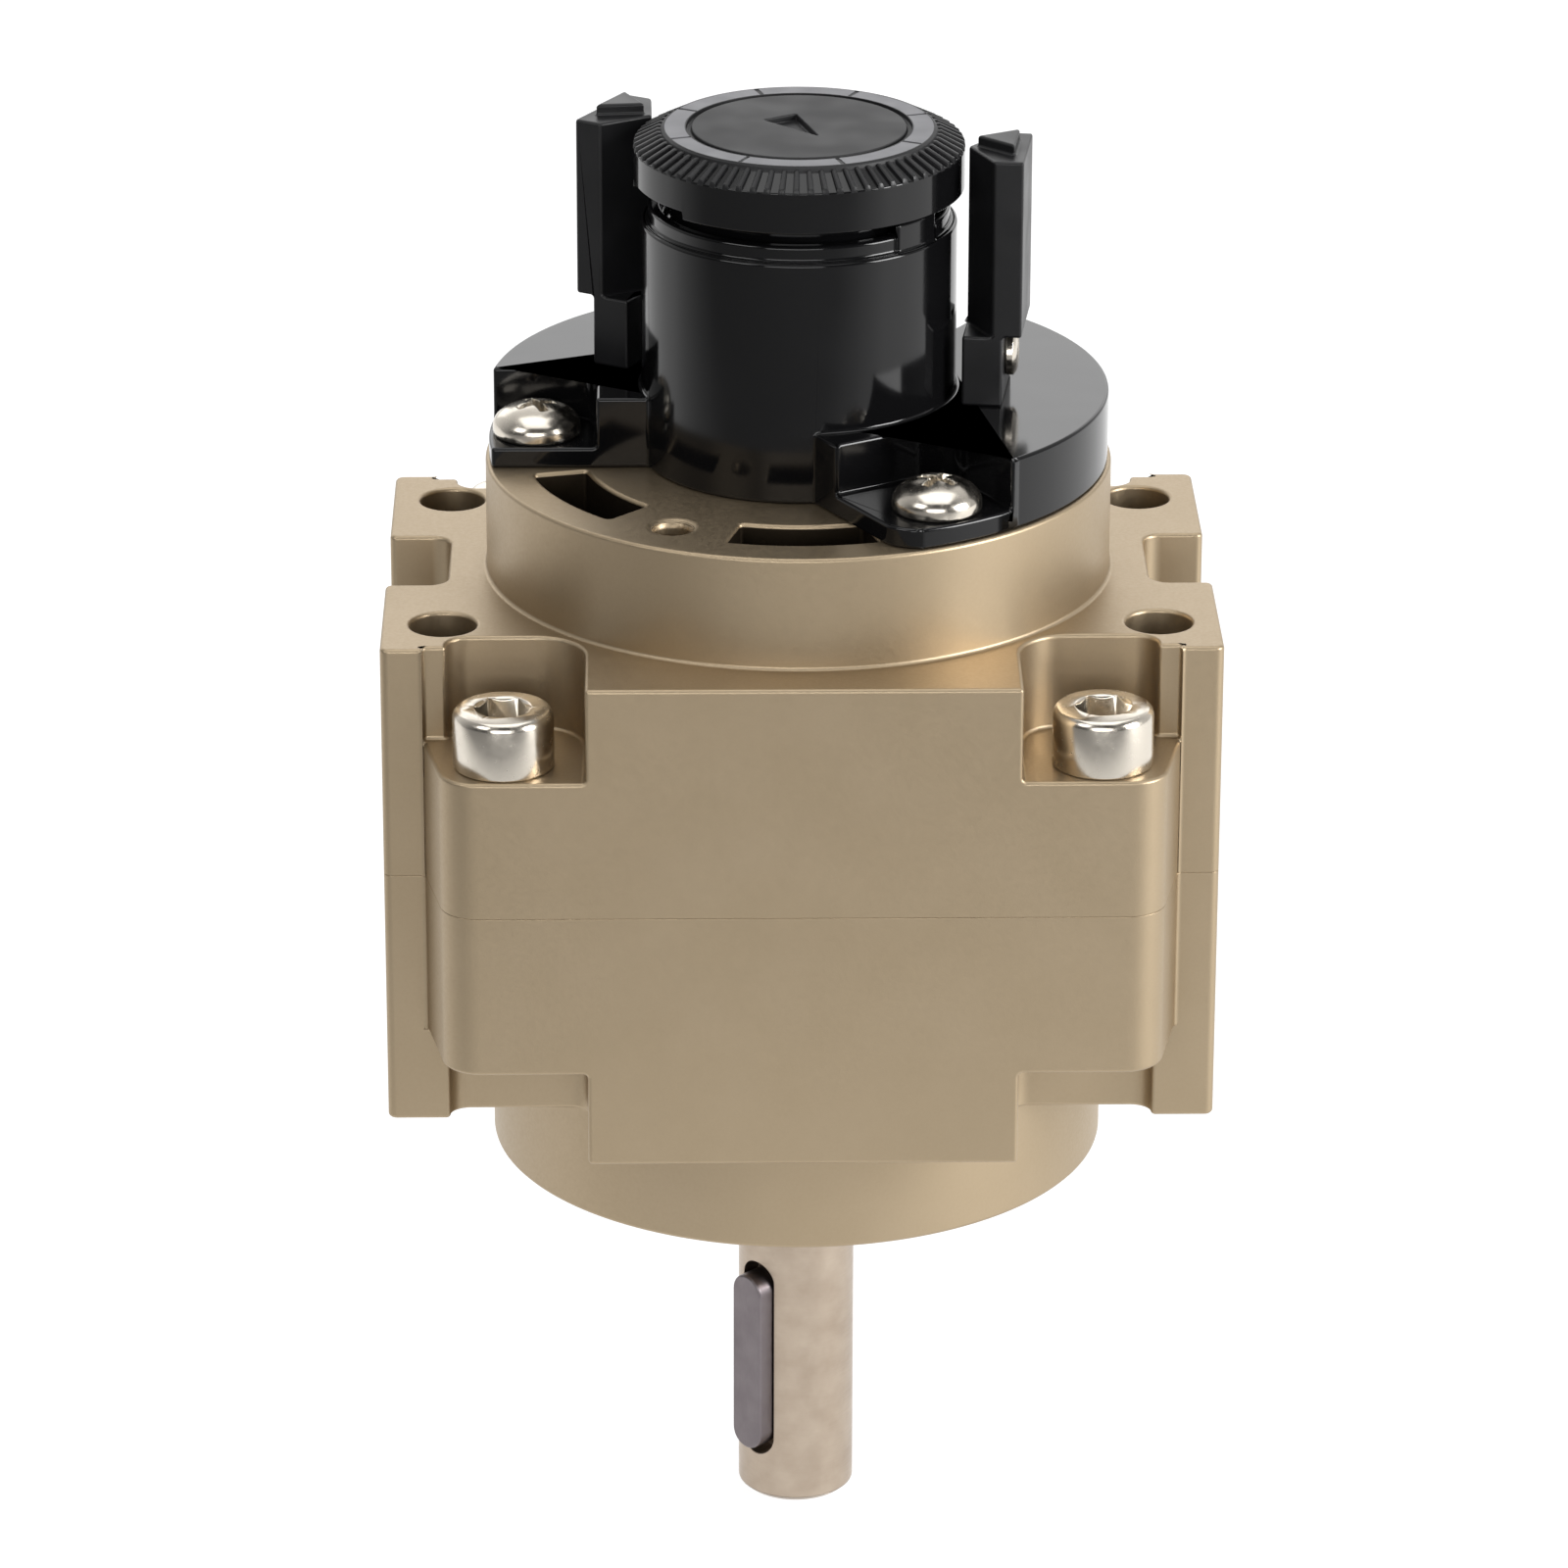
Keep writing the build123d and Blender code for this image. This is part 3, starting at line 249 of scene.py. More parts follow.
def settle(obj: bpy.types.Object) -> None:
    """Replace an object's mesh with what its modifiers make of it, and clear them."""
    graph = bpy.context.evaluated_depsgraph_get()
    made = bpy.data.meshes.new_from_object(obj.evaluated_get(graph))
    obj.modifiers.clear()
    obj.data = made


def combine(target: bpy.types.Object, tools: Iterable[bpy.types.Object],
            operation: Operation) -> bpy.types.Object:
    """Cut or join each tool in turn, and remove the tools.

    Args:
        target: The solid that changes.
        tools: The solids it meets.
        operation: What each meeting does.

    Returns:
        The target.
    """
    for tool in tools:
        step = target.modifiers.new("meet", "BOOLEAN")
        step.operation = operation.value
        step.solver = "EXACT"
        step.object = tool
        settle(target)
        bpy.data.objects.remove(tool)
    return target


def clean(obj: bpy.types.Object, merge: float = 1e-4) -> None:
    """Merge doubled points and drop loose or needless ones."""
    bm = bmesh.new()
    bm.from_mesh(obj.data)
    bmesh.ops.remove_doubles(bm, verts=bm.verts, dist=merge)
    bmesh.ops.dissolve_degenerate(bm, dist=merge, edges=bm.edges)
    bm.to_mesh(obj.data)
    bm.free()


EdgeRule = Callable[[Vector, Vector], float]


def soften(obj: bpy.types.Object, width: float, rule: EdgeRule | None = None,
           segments: int = 3) -> None:
    """Round the sharp edges, with a width that a rule may scale edge by edge.

    Args:
        obj: Object whose mesh is still in millimetres.
        width: Bevel width where the rule gives 1.
        rule: Takes an edge's middle and direction, and gives 0 to 1.
        segments: Facets across a rounded edge.
    """
    mesh = obj.data
    bm = bmesh.new()
    bm.from_mesh(mesh)
    weights = bm.edges.layers.float.get("bevel_weight_edge")
    if weights is None:
        weights = bm.edges.layers.float.new("bevel_weight_edge")
    for edge in bm.edges:
        if not edge.is_manifold or edge.calc_face_angle(0) < SHARP:
            continue
        a, b = (v.co for v in edge.verts)
        edge[weights] = rule((a + b) / 2, (b - a).normalized()) if rule else 1.0
    bm.to_mesh(mesh)
    bm.free()
    bevel = obj.modifiers.new("soft_edge", "BEVEL")
    bevel.width = width
    bevel.segments = segments
    bevel.limit_method = "WEIGHT"
    bevel.harden_normals = True
    bevel.use_clamp_overlap = False
    bevel.miter_outer = "MITER_ARC"


def shade(mesh: bpy.types.Mesh) -> None:
    """Shade a mesh smooth, and keep its sharp edges sharp."""
    mesh.shade_smooth()
    mesh.set_sharp_from_angle(angle=SHARP)


def finish_piece(obj: bpy.types.Object, name: str, body: Body, finish: "Finish",
                 nodes: Sequence[str]) -> bpy.types.Object:
    """Turn a millimetre solid into a finished piece that stands for CAD nodes.

    Args:
        obj: The solid, with at most a live bevel on it.
        name: The piece's name.
        body: The body it rides on.
        finish: Its finish.
        nodes: The CAD nodes it stands for.

    Returns:
        The piece.
    """
    shade(obj.data)
    if obj.modifiers:
        settle(obj)
    obj.data.transform(Matrix.Scale(METRES, 4))
    obj.name = name
    obj.data.name = name
    obj.data.materials.clear()
    obj.data.materials.append(finish.material())
    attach(obj, body.value)
    if nodes:
        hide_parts(*nodes)
    LOG.info("%s rides on %s with %d faces", name, body.value, len(obj.data.polygons))
    return obj


def dress_faces(obj: bpy.types.Object, finish: "Finish", chosen: Callable[[Vector], bool]) -> None:
    """Give part of a finished piece a second finish.

    Args:
        obj: A finished piece.
        finish: The second finish.
        chosen: Takes a face's middle in millimetres and tells whether the face changes.
    """
    obj.data.materials.append(finish.material())
    for face in obj.data.polygons:
        if chosen(face.center / METRES):
            face.material_index = 1


def pattern_tree(name: str, on_circle: bool) -> bpy.types.NodeTree:
    """Build a tree that repeats a unit shape round a circle or on a 2 x 2 grid.

    Args:
        name: The tree's name.
        on_circle: True for a circle, False for a grid.

    Returns:
        The tree, with named inputs for its sizes.
    """
    tree = bpy.data.node_groups.new(name, "GeometryNodeTree")
    face = tree.interface
    face.new_socket("Geometry", in_out="INPUT", socket_type="NodeSocketGeometry")
    face.new_socket("Unit", in_out="INPUT", socket_type="NodeSocketObject")
    face.new_socket("Finish", in_out="INPUT", socket_type="NodeSocketMaterial")
    face.new_socket("Height", in_out="INPUT", socket_type="NodeSocketFloat")
    if on_circle:
        face.new_socket("Count", in_out="INPUT", socket_type="NodeSocketInt")
        face.new_socket("Radius", in_out="INPUT", socket_type="NodeSocketFloat")
        face.new_socket("Phase", in_out="INPUT", socket_type="NodeSocketFloat")
    else:
        face.new_socket("Width", in_out="INPUT", socket_type="NodeSocketFloat")
        face.new_socket("Depth", in_out="INPUT", socket_type="NodeSocketFloat")
    face.new_socket("Geometry", in_out="OUTPUT", socket_type="NodeSocketGeometry")
    given = add_node(tree, "NodeGroupInput").outputs
    unit = add_node(tree, "GeometryNodeObjectInfo", {"transform_space": "ORIGINAL"},
                    {"Object": given["Unit"]})
    index = add_node(tree, "GeometryNodeInputIndex")
    if on_circle:
        points = add_node(tree, "GeometryNodeMeshLine", {"mode": "OFFSET"},
                          {"Count": given["Count"]})
        full = add_node(tree, "ShaderNodeMath", {"operation": "DIVIDE", 0: math.tau},
                        {1: given["Count"]})
        turn = add_node(tree, "ShaderNodeMath", {"operation": "MULTIPLY_ADD"},
                        {0: full.outputs[0], 1: index.outputs[0], 2: given["Phase"]})
        across = add_node(tree, "ShaderNodeMath", {"operation": "COSINE"}, {0: turn.outputs[0]})
        along = add_node(tree, "ShaderNodeMath", {"operation": "SINE"}, {0: turn.outputs[0]})
        x = add_node(tree, "ShaderNodeMath", {"operation": "MULTIPLY"},
                     {0: across.outputs[0], 1: given["Radius"]})
        y = add_node(tree, "ShaderNodeMath", {"operation": "MULTIPLY"},
                     {0: along.outputs[0], 1: given["Radius"]})
        place = add_node(tree, "ShaderNodeCombineXYZ",
                         links={"X": x.outputs[0], "Y": y.outputs[0], "Z": given["Height"]})
        rotation = add_node(tree, "ShaderNodeCombineXYZ", links={"Z": turn.outputs[0]})
        spots = add_node(tree, "GeometryNodeSetPosition", links={
            "Geometry": points.outputs["Mesh"], "Position": place.outputs[0]})
        copies = add_node(tree, "GeometryNodeInstanceOnPoints", links={
            "Points": spots.outputs[0], "Instance": unit.outputs["Geometry"],
            "Rotation": rotation.outputs[0]})
    else:
        grid = add_node(tree, "GeometryNodeMeshGrid", {"Vertices X": 2, "Vertices Y": 2},
                        {"Size X": given["Width"], "Size Y": given["Depth"]})
        lift = add_node(tree, "ShaderNodeCombineXYZ", links={"Z": given["Height"]})
        spots = add_node(tree, "GeometryNodeSetPosition", links={
            "Geometry": grid.outputs["Mesh"], "Offset": lift.outputs[0]})
        copies = add_node(tree, "GeometryNodeInstanceOnPoints", links={
            "Points": spots.outputs[0], "Instance": unit.outputs["Geometry"]})
    real = add_node(tree, "GeometryNodeRealizeInstances", links={"Geometry": copies.outputs[0]})
    dressed = add_node(tree, "GeometryNodeSetMaterial", links={
        "Geometry": real.outputs[0], "Material": given["Finish"]})
    add_node(tree, "NodeGroupOutput", links={0: dressed.outputs[0]})
    return tree


def repeat(name: str, unit: bpy.types.Object, finish: "Finish", on_circle: bool,
           **sizes: float) -> bpy.types.Object:
    """Repeat a unit shape with a pattern tree and turn the result into a plain mesh.

    Args:
        name: The new object's name.
        unit: The shape that repeats, in millimetres. It is removed afterwards.
        finish: Finish of every copy.
        on_circle: True for a circle, False for a grid.
        **sizes: Values of the tree's named inputs.

    Returns:
        The new object, in millimetres.
    """
    if unit.modifiers:
        shade(unit.data)
        settle(unit)
    host = bpy.data.objects.new(name, bpy.data.meshes.new(name))
    bpy.context.scene.collection.objects.link(host)
    tree = pattern_tree(f"{name}_pattern", on_circle)
    modifier = host.modifiers.new("pattern", "NODES")
    modifier.node_group = tree
    inputs = {item.name: item.identifier for item in tree.interface.items_tree
              if item.in_out == "INPUT"}
    modifier[inputs["Unit"]] = unit
    modifier[inputs["Finish"]] = finish.material()
    for key, value in sizes.items():
        modifier[inputs[key]] = value
    settle(host)
    bpy.data.objects.remove(unit)
    return host


@dataclass(frozen=True)
class Finish:
    """A surface finish; its material is made once and shared."""

    name: str

    def material(self) -> bpy.types.Material:
        """The finish's material."""
        found = bpy.data.materials.get(self.name)
        return found or self.make()

    def make(self) -> bpy.types.Material:
        """Build the material."""
        raise NotImplementedError


@dataclass(frozen=True)
class Metal(Finish):
    """A metal whose fine grain, worn patches and polish come from noise at real scale."""

    colour: str = "#A89B7E"
    shadow: str = "#9A8D72"
    roughness: tuple[float, float] = (0.3, 0.4)
    grain_mm: float = 0.3
    grain_height_mm: float = 0.004
    cloud_mm: float = 9.0
    stretch: tuple[float, float, float] = (1.0, 1.0, 1.0)
    metallic: float = 1.0

    def make(self) -> bpy.types.Material:
        """Clouded colour and polish over a fine grain; stretch draws the grain out."""
        material, tree, shader = new_material(self.name)
        place = add_node(tree, "ShaderNodeTexCoord").outputs["Object"]
        cloud = add_node(tree, "ShaderNodeTexNoise", {
            "Scale": 1 / (self.cloud_mm * METRES), "Detail": 3.0}, {"Vector": place})
        drawn = add_node(tree, "ShaderNodeMapping", {"Scale": self.stretch}, {"Vector": place})
        grain = add_node(tree, "ShaderNodeTexNoise", {
            "Scale": 1 / (self.grain_mm * METRES), "Detail": 2.0},
            {"Vector": drawn.outputs[0]})
        colour = add_node(tree, "ShaderNodeMix", {
            "data_type": "RGBA", 6: linear(self.shadow), 7: linear(self.colour)},
            {0: cloud.outputs["Fac"]})
        polish = add_node(tree, "ShaderNodeMapRange", {
            "From Min": 0.3, "From Max": 0.7,
            "To Min": self.roughness[0], "To Max": self.roughness[1]},
            {"Value": grain.outputs["Fac"]})
        bump = add_node(tree, "ShaderNodeBump", {
            "Strength": 1.0, "Distance": self.grain_height_mm * METRES},
            {"Height": grain.outputs["Fac"]})
        shader.inputs["Metallic"].default_value = self.metallic
        tree.links.new(colour.outputs[2], shader.inputs["Base Color"])
        tree.links.new(polish.outputs[0], shader.inputs["Roughness"])
        tree.links.new(bump.outputs[0], shader.inputs["Normal"])
        return material


@dataclass(frozen=True)
class Plastic(Finish):
    """Moulded plastic: an even colour, a faint ripple and a fine moulded texture."""

    colour: str = "#1B1B1D"
    worn: str = "#232326"
    roughness: tuple[float, float] = (0.16, 0.24)
    ripple_mm: float = 6.0
    ripple_height_mm: float = 0.02
    grain_mm: float = 0.2
    grain_height_mm: float = 0.001
    ior: float = 1.53
    mirror: float = 0.5

    def make(self) -> bpy.types.Material:
        """Two noises lift the surface, and the coarse one also varies colour and polish."""
        material, tree, shader = new_material(self.name)
        place = add_node(tree, "ShaderNodeTexCoord").outputs["Object"]
        ripple = add_node(tree, "ShaderNodeTexNoise", {
            "Scale": 1 / (self.ripple_mm * METRES), "Detail": 1.0}, {"Vector": place})
        grain = add_node(tree, "ShaderNodeTexNoise", {
            "Scale": 1 / (self.grain_mm * METRES), "Detail": 2.0}, {"Vector": place})
        colour = add_node(tree, "ShaderNodeMix", {
            "data_type": "RGBA", 6: linear(self.colour), 7: linear(self.worn)},
            {0: ripple.outputs["Fac"]})
        polish = add_node(tree, "ShaderNodeMapRange", {
            "From Min": 0.3, "From Max": 0.7,
            "To Min": self.roughness[0], "To Max": self.roughness[1]},
            {"Value": ripple.outputs["Fac"]})
        wave = add_node(tree, "ShaderNodeBump", {
            "Strength": 1.0, "Distance": self.ripple_height_mm * METRES},
            {"Height": ripple.outputs["Fac"]})
        bump = add_node(tree, "ShaderNodeBump", {
            "Strength": 1.0, "Distance": self.grain_height_mm * METRES},
            {"Height": grain.outputs["Fac"], "Normal": wave.outputs[0]})
        shader.inputs["IOR"].default_value = self.ior
        shader.inputs["Specular IOR Level"].default_value = self.mirror
        tree.links.new(colour.outputs[2], shader.inputs["Base Color"])
        tree.links.new(polish.outputs[0], shader.inputs["Roughness"])
        tree.links.new(bump.outputs[0], shader.inputs["Normal"])
        return material


# Die-cast aluminium, bead blasted and hard anodised in a champagne tone: satin, without sparkle.
ANODISED = Metal("hard_anodised_aluminium", "#AC9B82", "#A49379", (0.42, 0.5), 0.35, 0.004)
# Painted shade: a dark brown anodised tone laid on the walls and floors of the upper spigot's cast
# recesses, darkening them where shade falls.
RECESS_SHADE = Metal("painted_recess_shade", "#3A3228", "#2E271F", (0.5, 0.6), 0.35, 0.006)
# Aluminium as milled, inside the body.
MILLED = Metal("milled_aluminium", "#C9C7C2", "#BFBDB8", (0.22, 0.34), 0.2, 0.003,
               stretch=(1.0, 1.0, 12.0))
# Screws with bright nickel plating, slightly warm.
NICKEL = Metal("bright_nickel_plate", "#DCD5C9", "#D0C8BB", (0.18, 0.28), 0.8, 0.003, 5.0)
# Carbon steel shaft, turned and given a warm electroless plating; rings run round it.
TURNED = Metal("turned_plated_steel", "#BDAF9F", "#9C8C7C", (0.3, 0.42), 0.5, 0.002, 3.0,
               stretch=(0.25, 0.25, 3.0))
# Bright drawn key bar; the drawing lines run along the key.
DRAWN = Metal("bright_drawn_steel", "#827B7D", "#665F62", (0.28, 0.45), 0.35, 0.006, 3.0,
              stretch=(3.0, 3.0, 0.3))
# Through-hardened bearing steel, ground and polished.
GROUND = Metal("ground_bearing_steel", "#C8C8CA", "#BEBEC0", (0.08, 0.16), 0.2, 0.001)
# Pressed low-carbon steel sheet.
PRESSED = Metal("pressed_steel_sheet", "#A6A5A2", "#979692", (0.3, 0.42), 0.4, 0.004)
# Spring steel, oil blackened.
BLACKENED = Metal("blackened_spring_steel", "#4A4744", "#3A3735", (0.35, 0.5), 0.3, 0.004)
# Sintered ferrite magnet, dull and porous.
FERRITE = Metal("sintered_ferrite", "#3D3C3E", "#333234", (0.5, 0.7), 0.15, 0.02, 2.0,
                metallic=0.3)
# Glossy black PBT of the cover, from a polished mould.
GLOSS_BLACK = Plastic("gloss_moulded_pbt", "#0A0A0B", "#0E0E0F", (0.08, 0.14), 7.0, 0.02,
                      mirror=0.32)
# Satin black nylon of the dial and the switch blocks, from a lightly eroded mould.
SATIN_BLACK = Plastic("satin_moulded_nylon", "#0F0F10", "#141416", (0.36, 0.46), 5.0, 0.012,
                      0.18, 0.004, mirror=0.32)
# The dial's flat top, from a mould with a coarser eroded finish.
MATT_BLACK = Plastic("matt_moulded_nylon", "#121213", "#171719", (0.5, 0.6), 5.0, 0.012,
                     0.18, 0.006, mirror=0.32)
# Grey print on the dial's ring.
GREY_PRINT = Plastic("grey_pad_print", "#7A7A7D", "#707073", (0.45, 0.55), 3.0, 0.004, 0.15, 0.002,
                     mirror=0.2)
# Nitrile rubber of the seals.
NITRILE = Plastic("nitrile_rubber", "#0E0E0E", "#161616", (0.55, 0.7), 2.0, 0.01, 0.15, 0.006,
                  1.52)


@dataclass
class BodyBlock:
    """The two cast halves with their ears, pockets, spigots and ports, and their screws."""

    top: float
    joint: float
    spigot_low: float
    spigot_top: float
    ear_half_w: float
    half_d: float
    half_w: float = 34.9
    flare_half_w: float = 37.2
    ear_half_d: float = 25.3
    corner_r: float = 4.0
    panel_half_w: float = 21.2
    notch_x: float = 35.15
    notch_half: float = 6.9
    notch_r: float = 2.0
    pocket_floor: float = 40.6
    pocket_back: float = 21.7
    pocket_side: float = 24.5
    pocket_inner_r: float = 5.0
    pocket_outer_r: float = 2.2
    low_pocket: float = 9.7
    low_back: float = 22.9
    low_half_w: float = 35.1
    low_r: float = 2.0
    spigot_r: float = 31.35
    hole_x: float = 35.3
    hole_y: float = 18.1
    hole_r: float = 3.3
    chamber_r: float = 28.0
    chamber_floor: float = 11.4
    chamber_roof: float = 41.4
    journal_r: float = 7.05
    seal_r: float = 10.02
    seat_r: float = 14.02
    ring_seat_r: float = 14.7
    ring_seat: tuple[float, float] = (0.6, 1.9)
    seat_depth: float = 9.9
    seal_depth: float = 6.4
    port_x: float = 12.0
    port_z: float = 15.4
    port_r: float = 4.3
    port_depth: float = 9.0
    thread_pitch: float = 0.907
    thread_depth: float = 0.22
    passage_r: float = 1.75
    screw_x: float = 29.2
    screw_y: float = 31.2
    recess: tuple[float, float, float, float] = (21.8, 27.2, 32.0, 5.5)
    recess_count: int = 6
    recess_turn: float = 30.0
    spare_circle: float = 25.3
    spare_turns: tuple[float, ...] = (-120.0, 0.0, 120.0)
    spare_r: float = 1.8
    spare_break: float = 0.5
    edge: float = 0.4

    def outline(self) -> list[Point]:
        """Plan of the block with its ears and side notches."""
        right = [
            (self.half_w, -self.half_d, self.corner_r),
            (self.flare_half_w, -self.ear_half_d, 0.6),
            (self.ear_half_w, -self.ear_half_d, 0.9),
            (self.ear_half_w, -self.notch_half, 0.7),
            (self.notch_x, -self.notch_half, self.notch_r),
            (self.notch_x, self.notch_half, self.notch_r),
            (self.ear_half_w, self.notch_half, 0.7),
            (self.ear_half_w, self.ear_half_d, 0.9),
            (self.flare_half_w, self.ear_half_d, 0.6),
            (self.half_w, self.half_d, self.corner_r),
        ]
        left = [(-x, y, r) for x, y, r in reversed(right)]
        return rounded(right + left)

    def corners(self, corner: Sequence[Corner], low: float, high: float) -> list[bpy.types.Object]:
        """Prisms of one pocket plan in all four corners.

        Args:
            corner: Plan of the pocket in the corner with x and y above 0.
            low: Height of the prisms' underside.
            high: Height of their top.

        Returns:
            Four prisms.
        """
        tools = []
        for sx in (-1, 1):
            for sy in (-1, 1):
                plan = [(x * sx, y * sy, r) for x, y, r in corner]
                if sx * sy < 0:
                    plan.reverse()
                tools.append(prism("pocket", rounded(plan), low, high))
        return tools

    def ear_holes(self, low: float, high: float) -> list[bpy.types.Object]:
        """Cylinders for the four ear holes."""
        return [lathe("hole", [(self.hole_r, low), (self.hole_r, high)], 48,
                      place=Matrix.Translation((sx * self.hole_x, sy * self.hole_y, 0)))
                for sx in (-1, 1) for sy in (-1, 1)]

    def edge_rule(self, middle: Vector, along: Vector) -> float:
        """Narrow breaks at the joint between the halves, wider ones elsewhere."""
        if abs(middle.z - self.joint) < 0.01:
            return 0.2
        if math.hypot(middle.x, middle.y) < self.seat_r + 1:
            return 0.4
        return 1.0

    def upper(self) -> bpy.types.Object:
        """Upper half: block, screw pockets, spigot with its tapped holes and cast recesses."""
        half = prism("upper_half", self.outline(), self.joint, self.top)
        front = self.half_d + 2
        pocket = [
            (self.panel_half_w, self.pocket_back, self.pocket_inner_r),
            (self.half_w, self.pocket_back, self.pocket_outer_r),
            (self.half_w, self.pocket_side, 0.0),
            (self.flare_half_w, self.pocket_side, 0.0),
            (self.flare_half_w, front, 0.0),
            (self.panel_half_w, front, 0.0),
        ]
        combine(half, self.corners(pocket, self.pocket_floor, self.top + 2), Operation.CUT)
        spigot = lathe("spigot", [(self.spigot_r, self.pocket_floor - 1),
                                  (self.spigot_r, self.spigot_top)], 192)
        combine(half, [spigot], Operation.JOIN)
        seat_low = self.spigot_top - self.seat_depth
        bore = [
            (self.chamber_r, self.joint - 1), (self.chamber_r, self.chamber_roof),
            (self.journal_r, self.chamber_roof), (self.journal_r, seat_low - self.seal_depth),
            (self.seal_r, seat_low - self.seal_depth), (self.seal_r, seat_low),
            (self.seat_r, seat_low), (self.seat_r, self.spigot_top + 1),
        ]
        tools = [lathe("bore", bore, 96), *self.ear_holes(self.joint - 1, self.top + 1)]
        inner, outer, spread, depth = self.recess
        for k in range(self.recess_count):
            turn = self.recess_turn + 360 / self.recess_count * k
            plan = arc(outer, turn - spread / 2, turn + spread / 2, 16)
            plan += arc(inner, turn + spread / 2, turn - spread / 2, 16)
            tools.append(prism("recess", plan, self.spigot_top - depth, self.spigot_top + 1))
        for turn in self.spare_turns:
            spot = Matrix.Translation((self.spare_circle * math.cos(math.radians(turn)),
                                       self.spare_circle * math.sin(math.radians(turn)), 0))
            mouth = self.spare_r + self.spare_break
            profile = [(self.spare_r, self.spigot_top - 8),
                       (self.spare_r, self.spigot_top - self.spare_break),
                       (mouth, self.spigot_top), (mouth, self.spigot_top + 1)]
            tools.append(lathe("spare", profile, 40, place=spot))
        return combine(half, tools, Operation.CUT)

    def lower(self) -> bpy.types.Object:
        """Lower half: block, under-pockets, pilot spigot, tapped ports and the bearing's seat."""
        half = prism("lower_half", self.outline(), 0.0, self.joint)
        front = self.half_d + 2
        pocket = [
            (self.panel_half_w, self.low_back, self.low_r),
            (self.low_half_w, self.low_back, self.low_r),
            (self.low_half_w, self.ear_half_d, 0.0),
            (self.ear_half_w, self.ear_half_d, 0.0),
            (self.ear_half_w, front, 0.0),
            (self.panel_half_w, front, 0.0),
        ]
        combine(half, self.corners(pocket, -1, self.low_pocket), Operation.CUT)
        spigot = lathe("spigot", [(self.spigot_r, self.spigot_low),
                                  (self.spigot_r, self.low_pocket + 1)], 192)
        combine(half, [spigot], Operation.JOIN)
        seat_high = self.spigot_low + self.seat_depth
        groove_low, groove_high = (self.spigot_low + z for z in self.ring_seat)
        bore = [
            (self.seat_r, self.spigot_low - 1), (self.seat_r, groove_low),
            (self.ring_seat_r, groove_low), (self.ring_seat_r, groove_high),
            (self.seat_r, groove_high), (self.seat_r, seat_high),
            (self.seal_r, seat_high), (self.seal_r, seat_high + self.seal_depth),
            (self.journal_r, seat_high + self.seal_depth), (self.journal_r, self.chamber_floor),
            (self.chamber_r, self.chamber_floor), (self.chamber_r, self.joint + 1),
        ]
        tools = [lathe("bore", bore, 96), *self.ear_holes(-1, self.joint + 1)]
        for sx in (-1, 1):
            place = Matrix.Translation((sx * self.port_x, self.half_d, self.port_z))
            place = place @ Matrix.Rotation(math.radians(90), 4, "X")
            profile = [(self.port_r + 0.5, -1), (self.port_r + 0.5, 0), (self.port_r, 0.6)]
            depth = 0.9
            while depth < self.port_depth - 1.5:
                profile += [(self.port_r, depth),
                            (self.port_r + self.thread_depth, depth + 0.3),
                            (self.port_r, depth + 0.6)]
                depth += self.thread_pitch
            profile += [(self.port_r, self.port_depth), (self.passage_r, self.port_depth),
                        (self.passage_r, self.port_depth + 4)]
            tools.append(lathe("port", profile, 64, place=place))
        return combine(half, tools, Operation.CUT)

    def cap_screw(self) -> bpy.types.Object:
        """One M6 socket-head screw, its head's underside at height 0."""
        head_r, head_h, shank_r, length = 4.95, 6.0, 3.0, 30.0
        profile = [
            (shank_r - 0.6, -length), (shank_r, -length + 0.6), (shank_r, 0), (head_r - 0.15, 0),
            (head_r, 0.15), (head_r, head_h - 0.9), (head_r - 0.12, head_h - 0.5),
            (head_r - 0.4, head_h - 0.15), (head_r - 0.8, head_h),
        ]
        screw = lathe("cap_screw", profile, 64)
        flats = 2.5 / math.cos(math.radians(30))
        socket = [(flats * math.cos(math.radians(60 * k)), flats * math.sin(math.radians(60 * k)))
                  for k in range(6)]
        mouth = lathe("mouth", [(2.35, head_h - 0.45), (2.95, head_h + 0.15)], 48)
        combine(screw, [mouth, prism("socket", socket, head_h - 3.4, head_h + 1)], Operation.CUT)
        soften(screw, 0.08, segments=2)
        return screw

    def in_recess(self, spot: Vector) -> bool:
        """Tell whether a point lies in one of the cast recesses, below its rim."""
        inner, outer, spread, depth = self.recess
        step = 360 / self.recess_count
        turn = math.degrees(math.atan2(spot.y, spot.x)) % step - self.recess_turn
        return (abs(turn) < spread / 2 + 1
                and inner - 0.1 < math.hypot(spot.x, spot.y) < outer + 0.1
                and self.spigot_top - depth - 0.1 < spot.z < self.spigot_top - self.edge)

    def build(self) -> None:
        """Make both halves and the four screws."""
        for place, half in (("upper", self.upper()), ("lower", self.lower())):
            clean(half)
            soften(half, self.edge, self.edge_rule)
            finish_piece(half, f"{place}_casting", Body.HOUSING, ANODISED,
                         [f"body_{place}", f"{place}_spigot"])
            if place == "upper":
                # The cast recesses take the dark finish as painted shade inside them.
                dress_faces(half, RECESS_SHADE, self.in_recess)
        screws = repeat("body_screw_set", self.cap_screw(), NICKEL, False, Height=self.pocket_floor,
                        Width=2 * self.screw_x, Depth=2 * self.screw_y)
        finish_piece(screws, "body_screw_set", Body.HOUSING, NICKEL,
                     ["body_screws"])


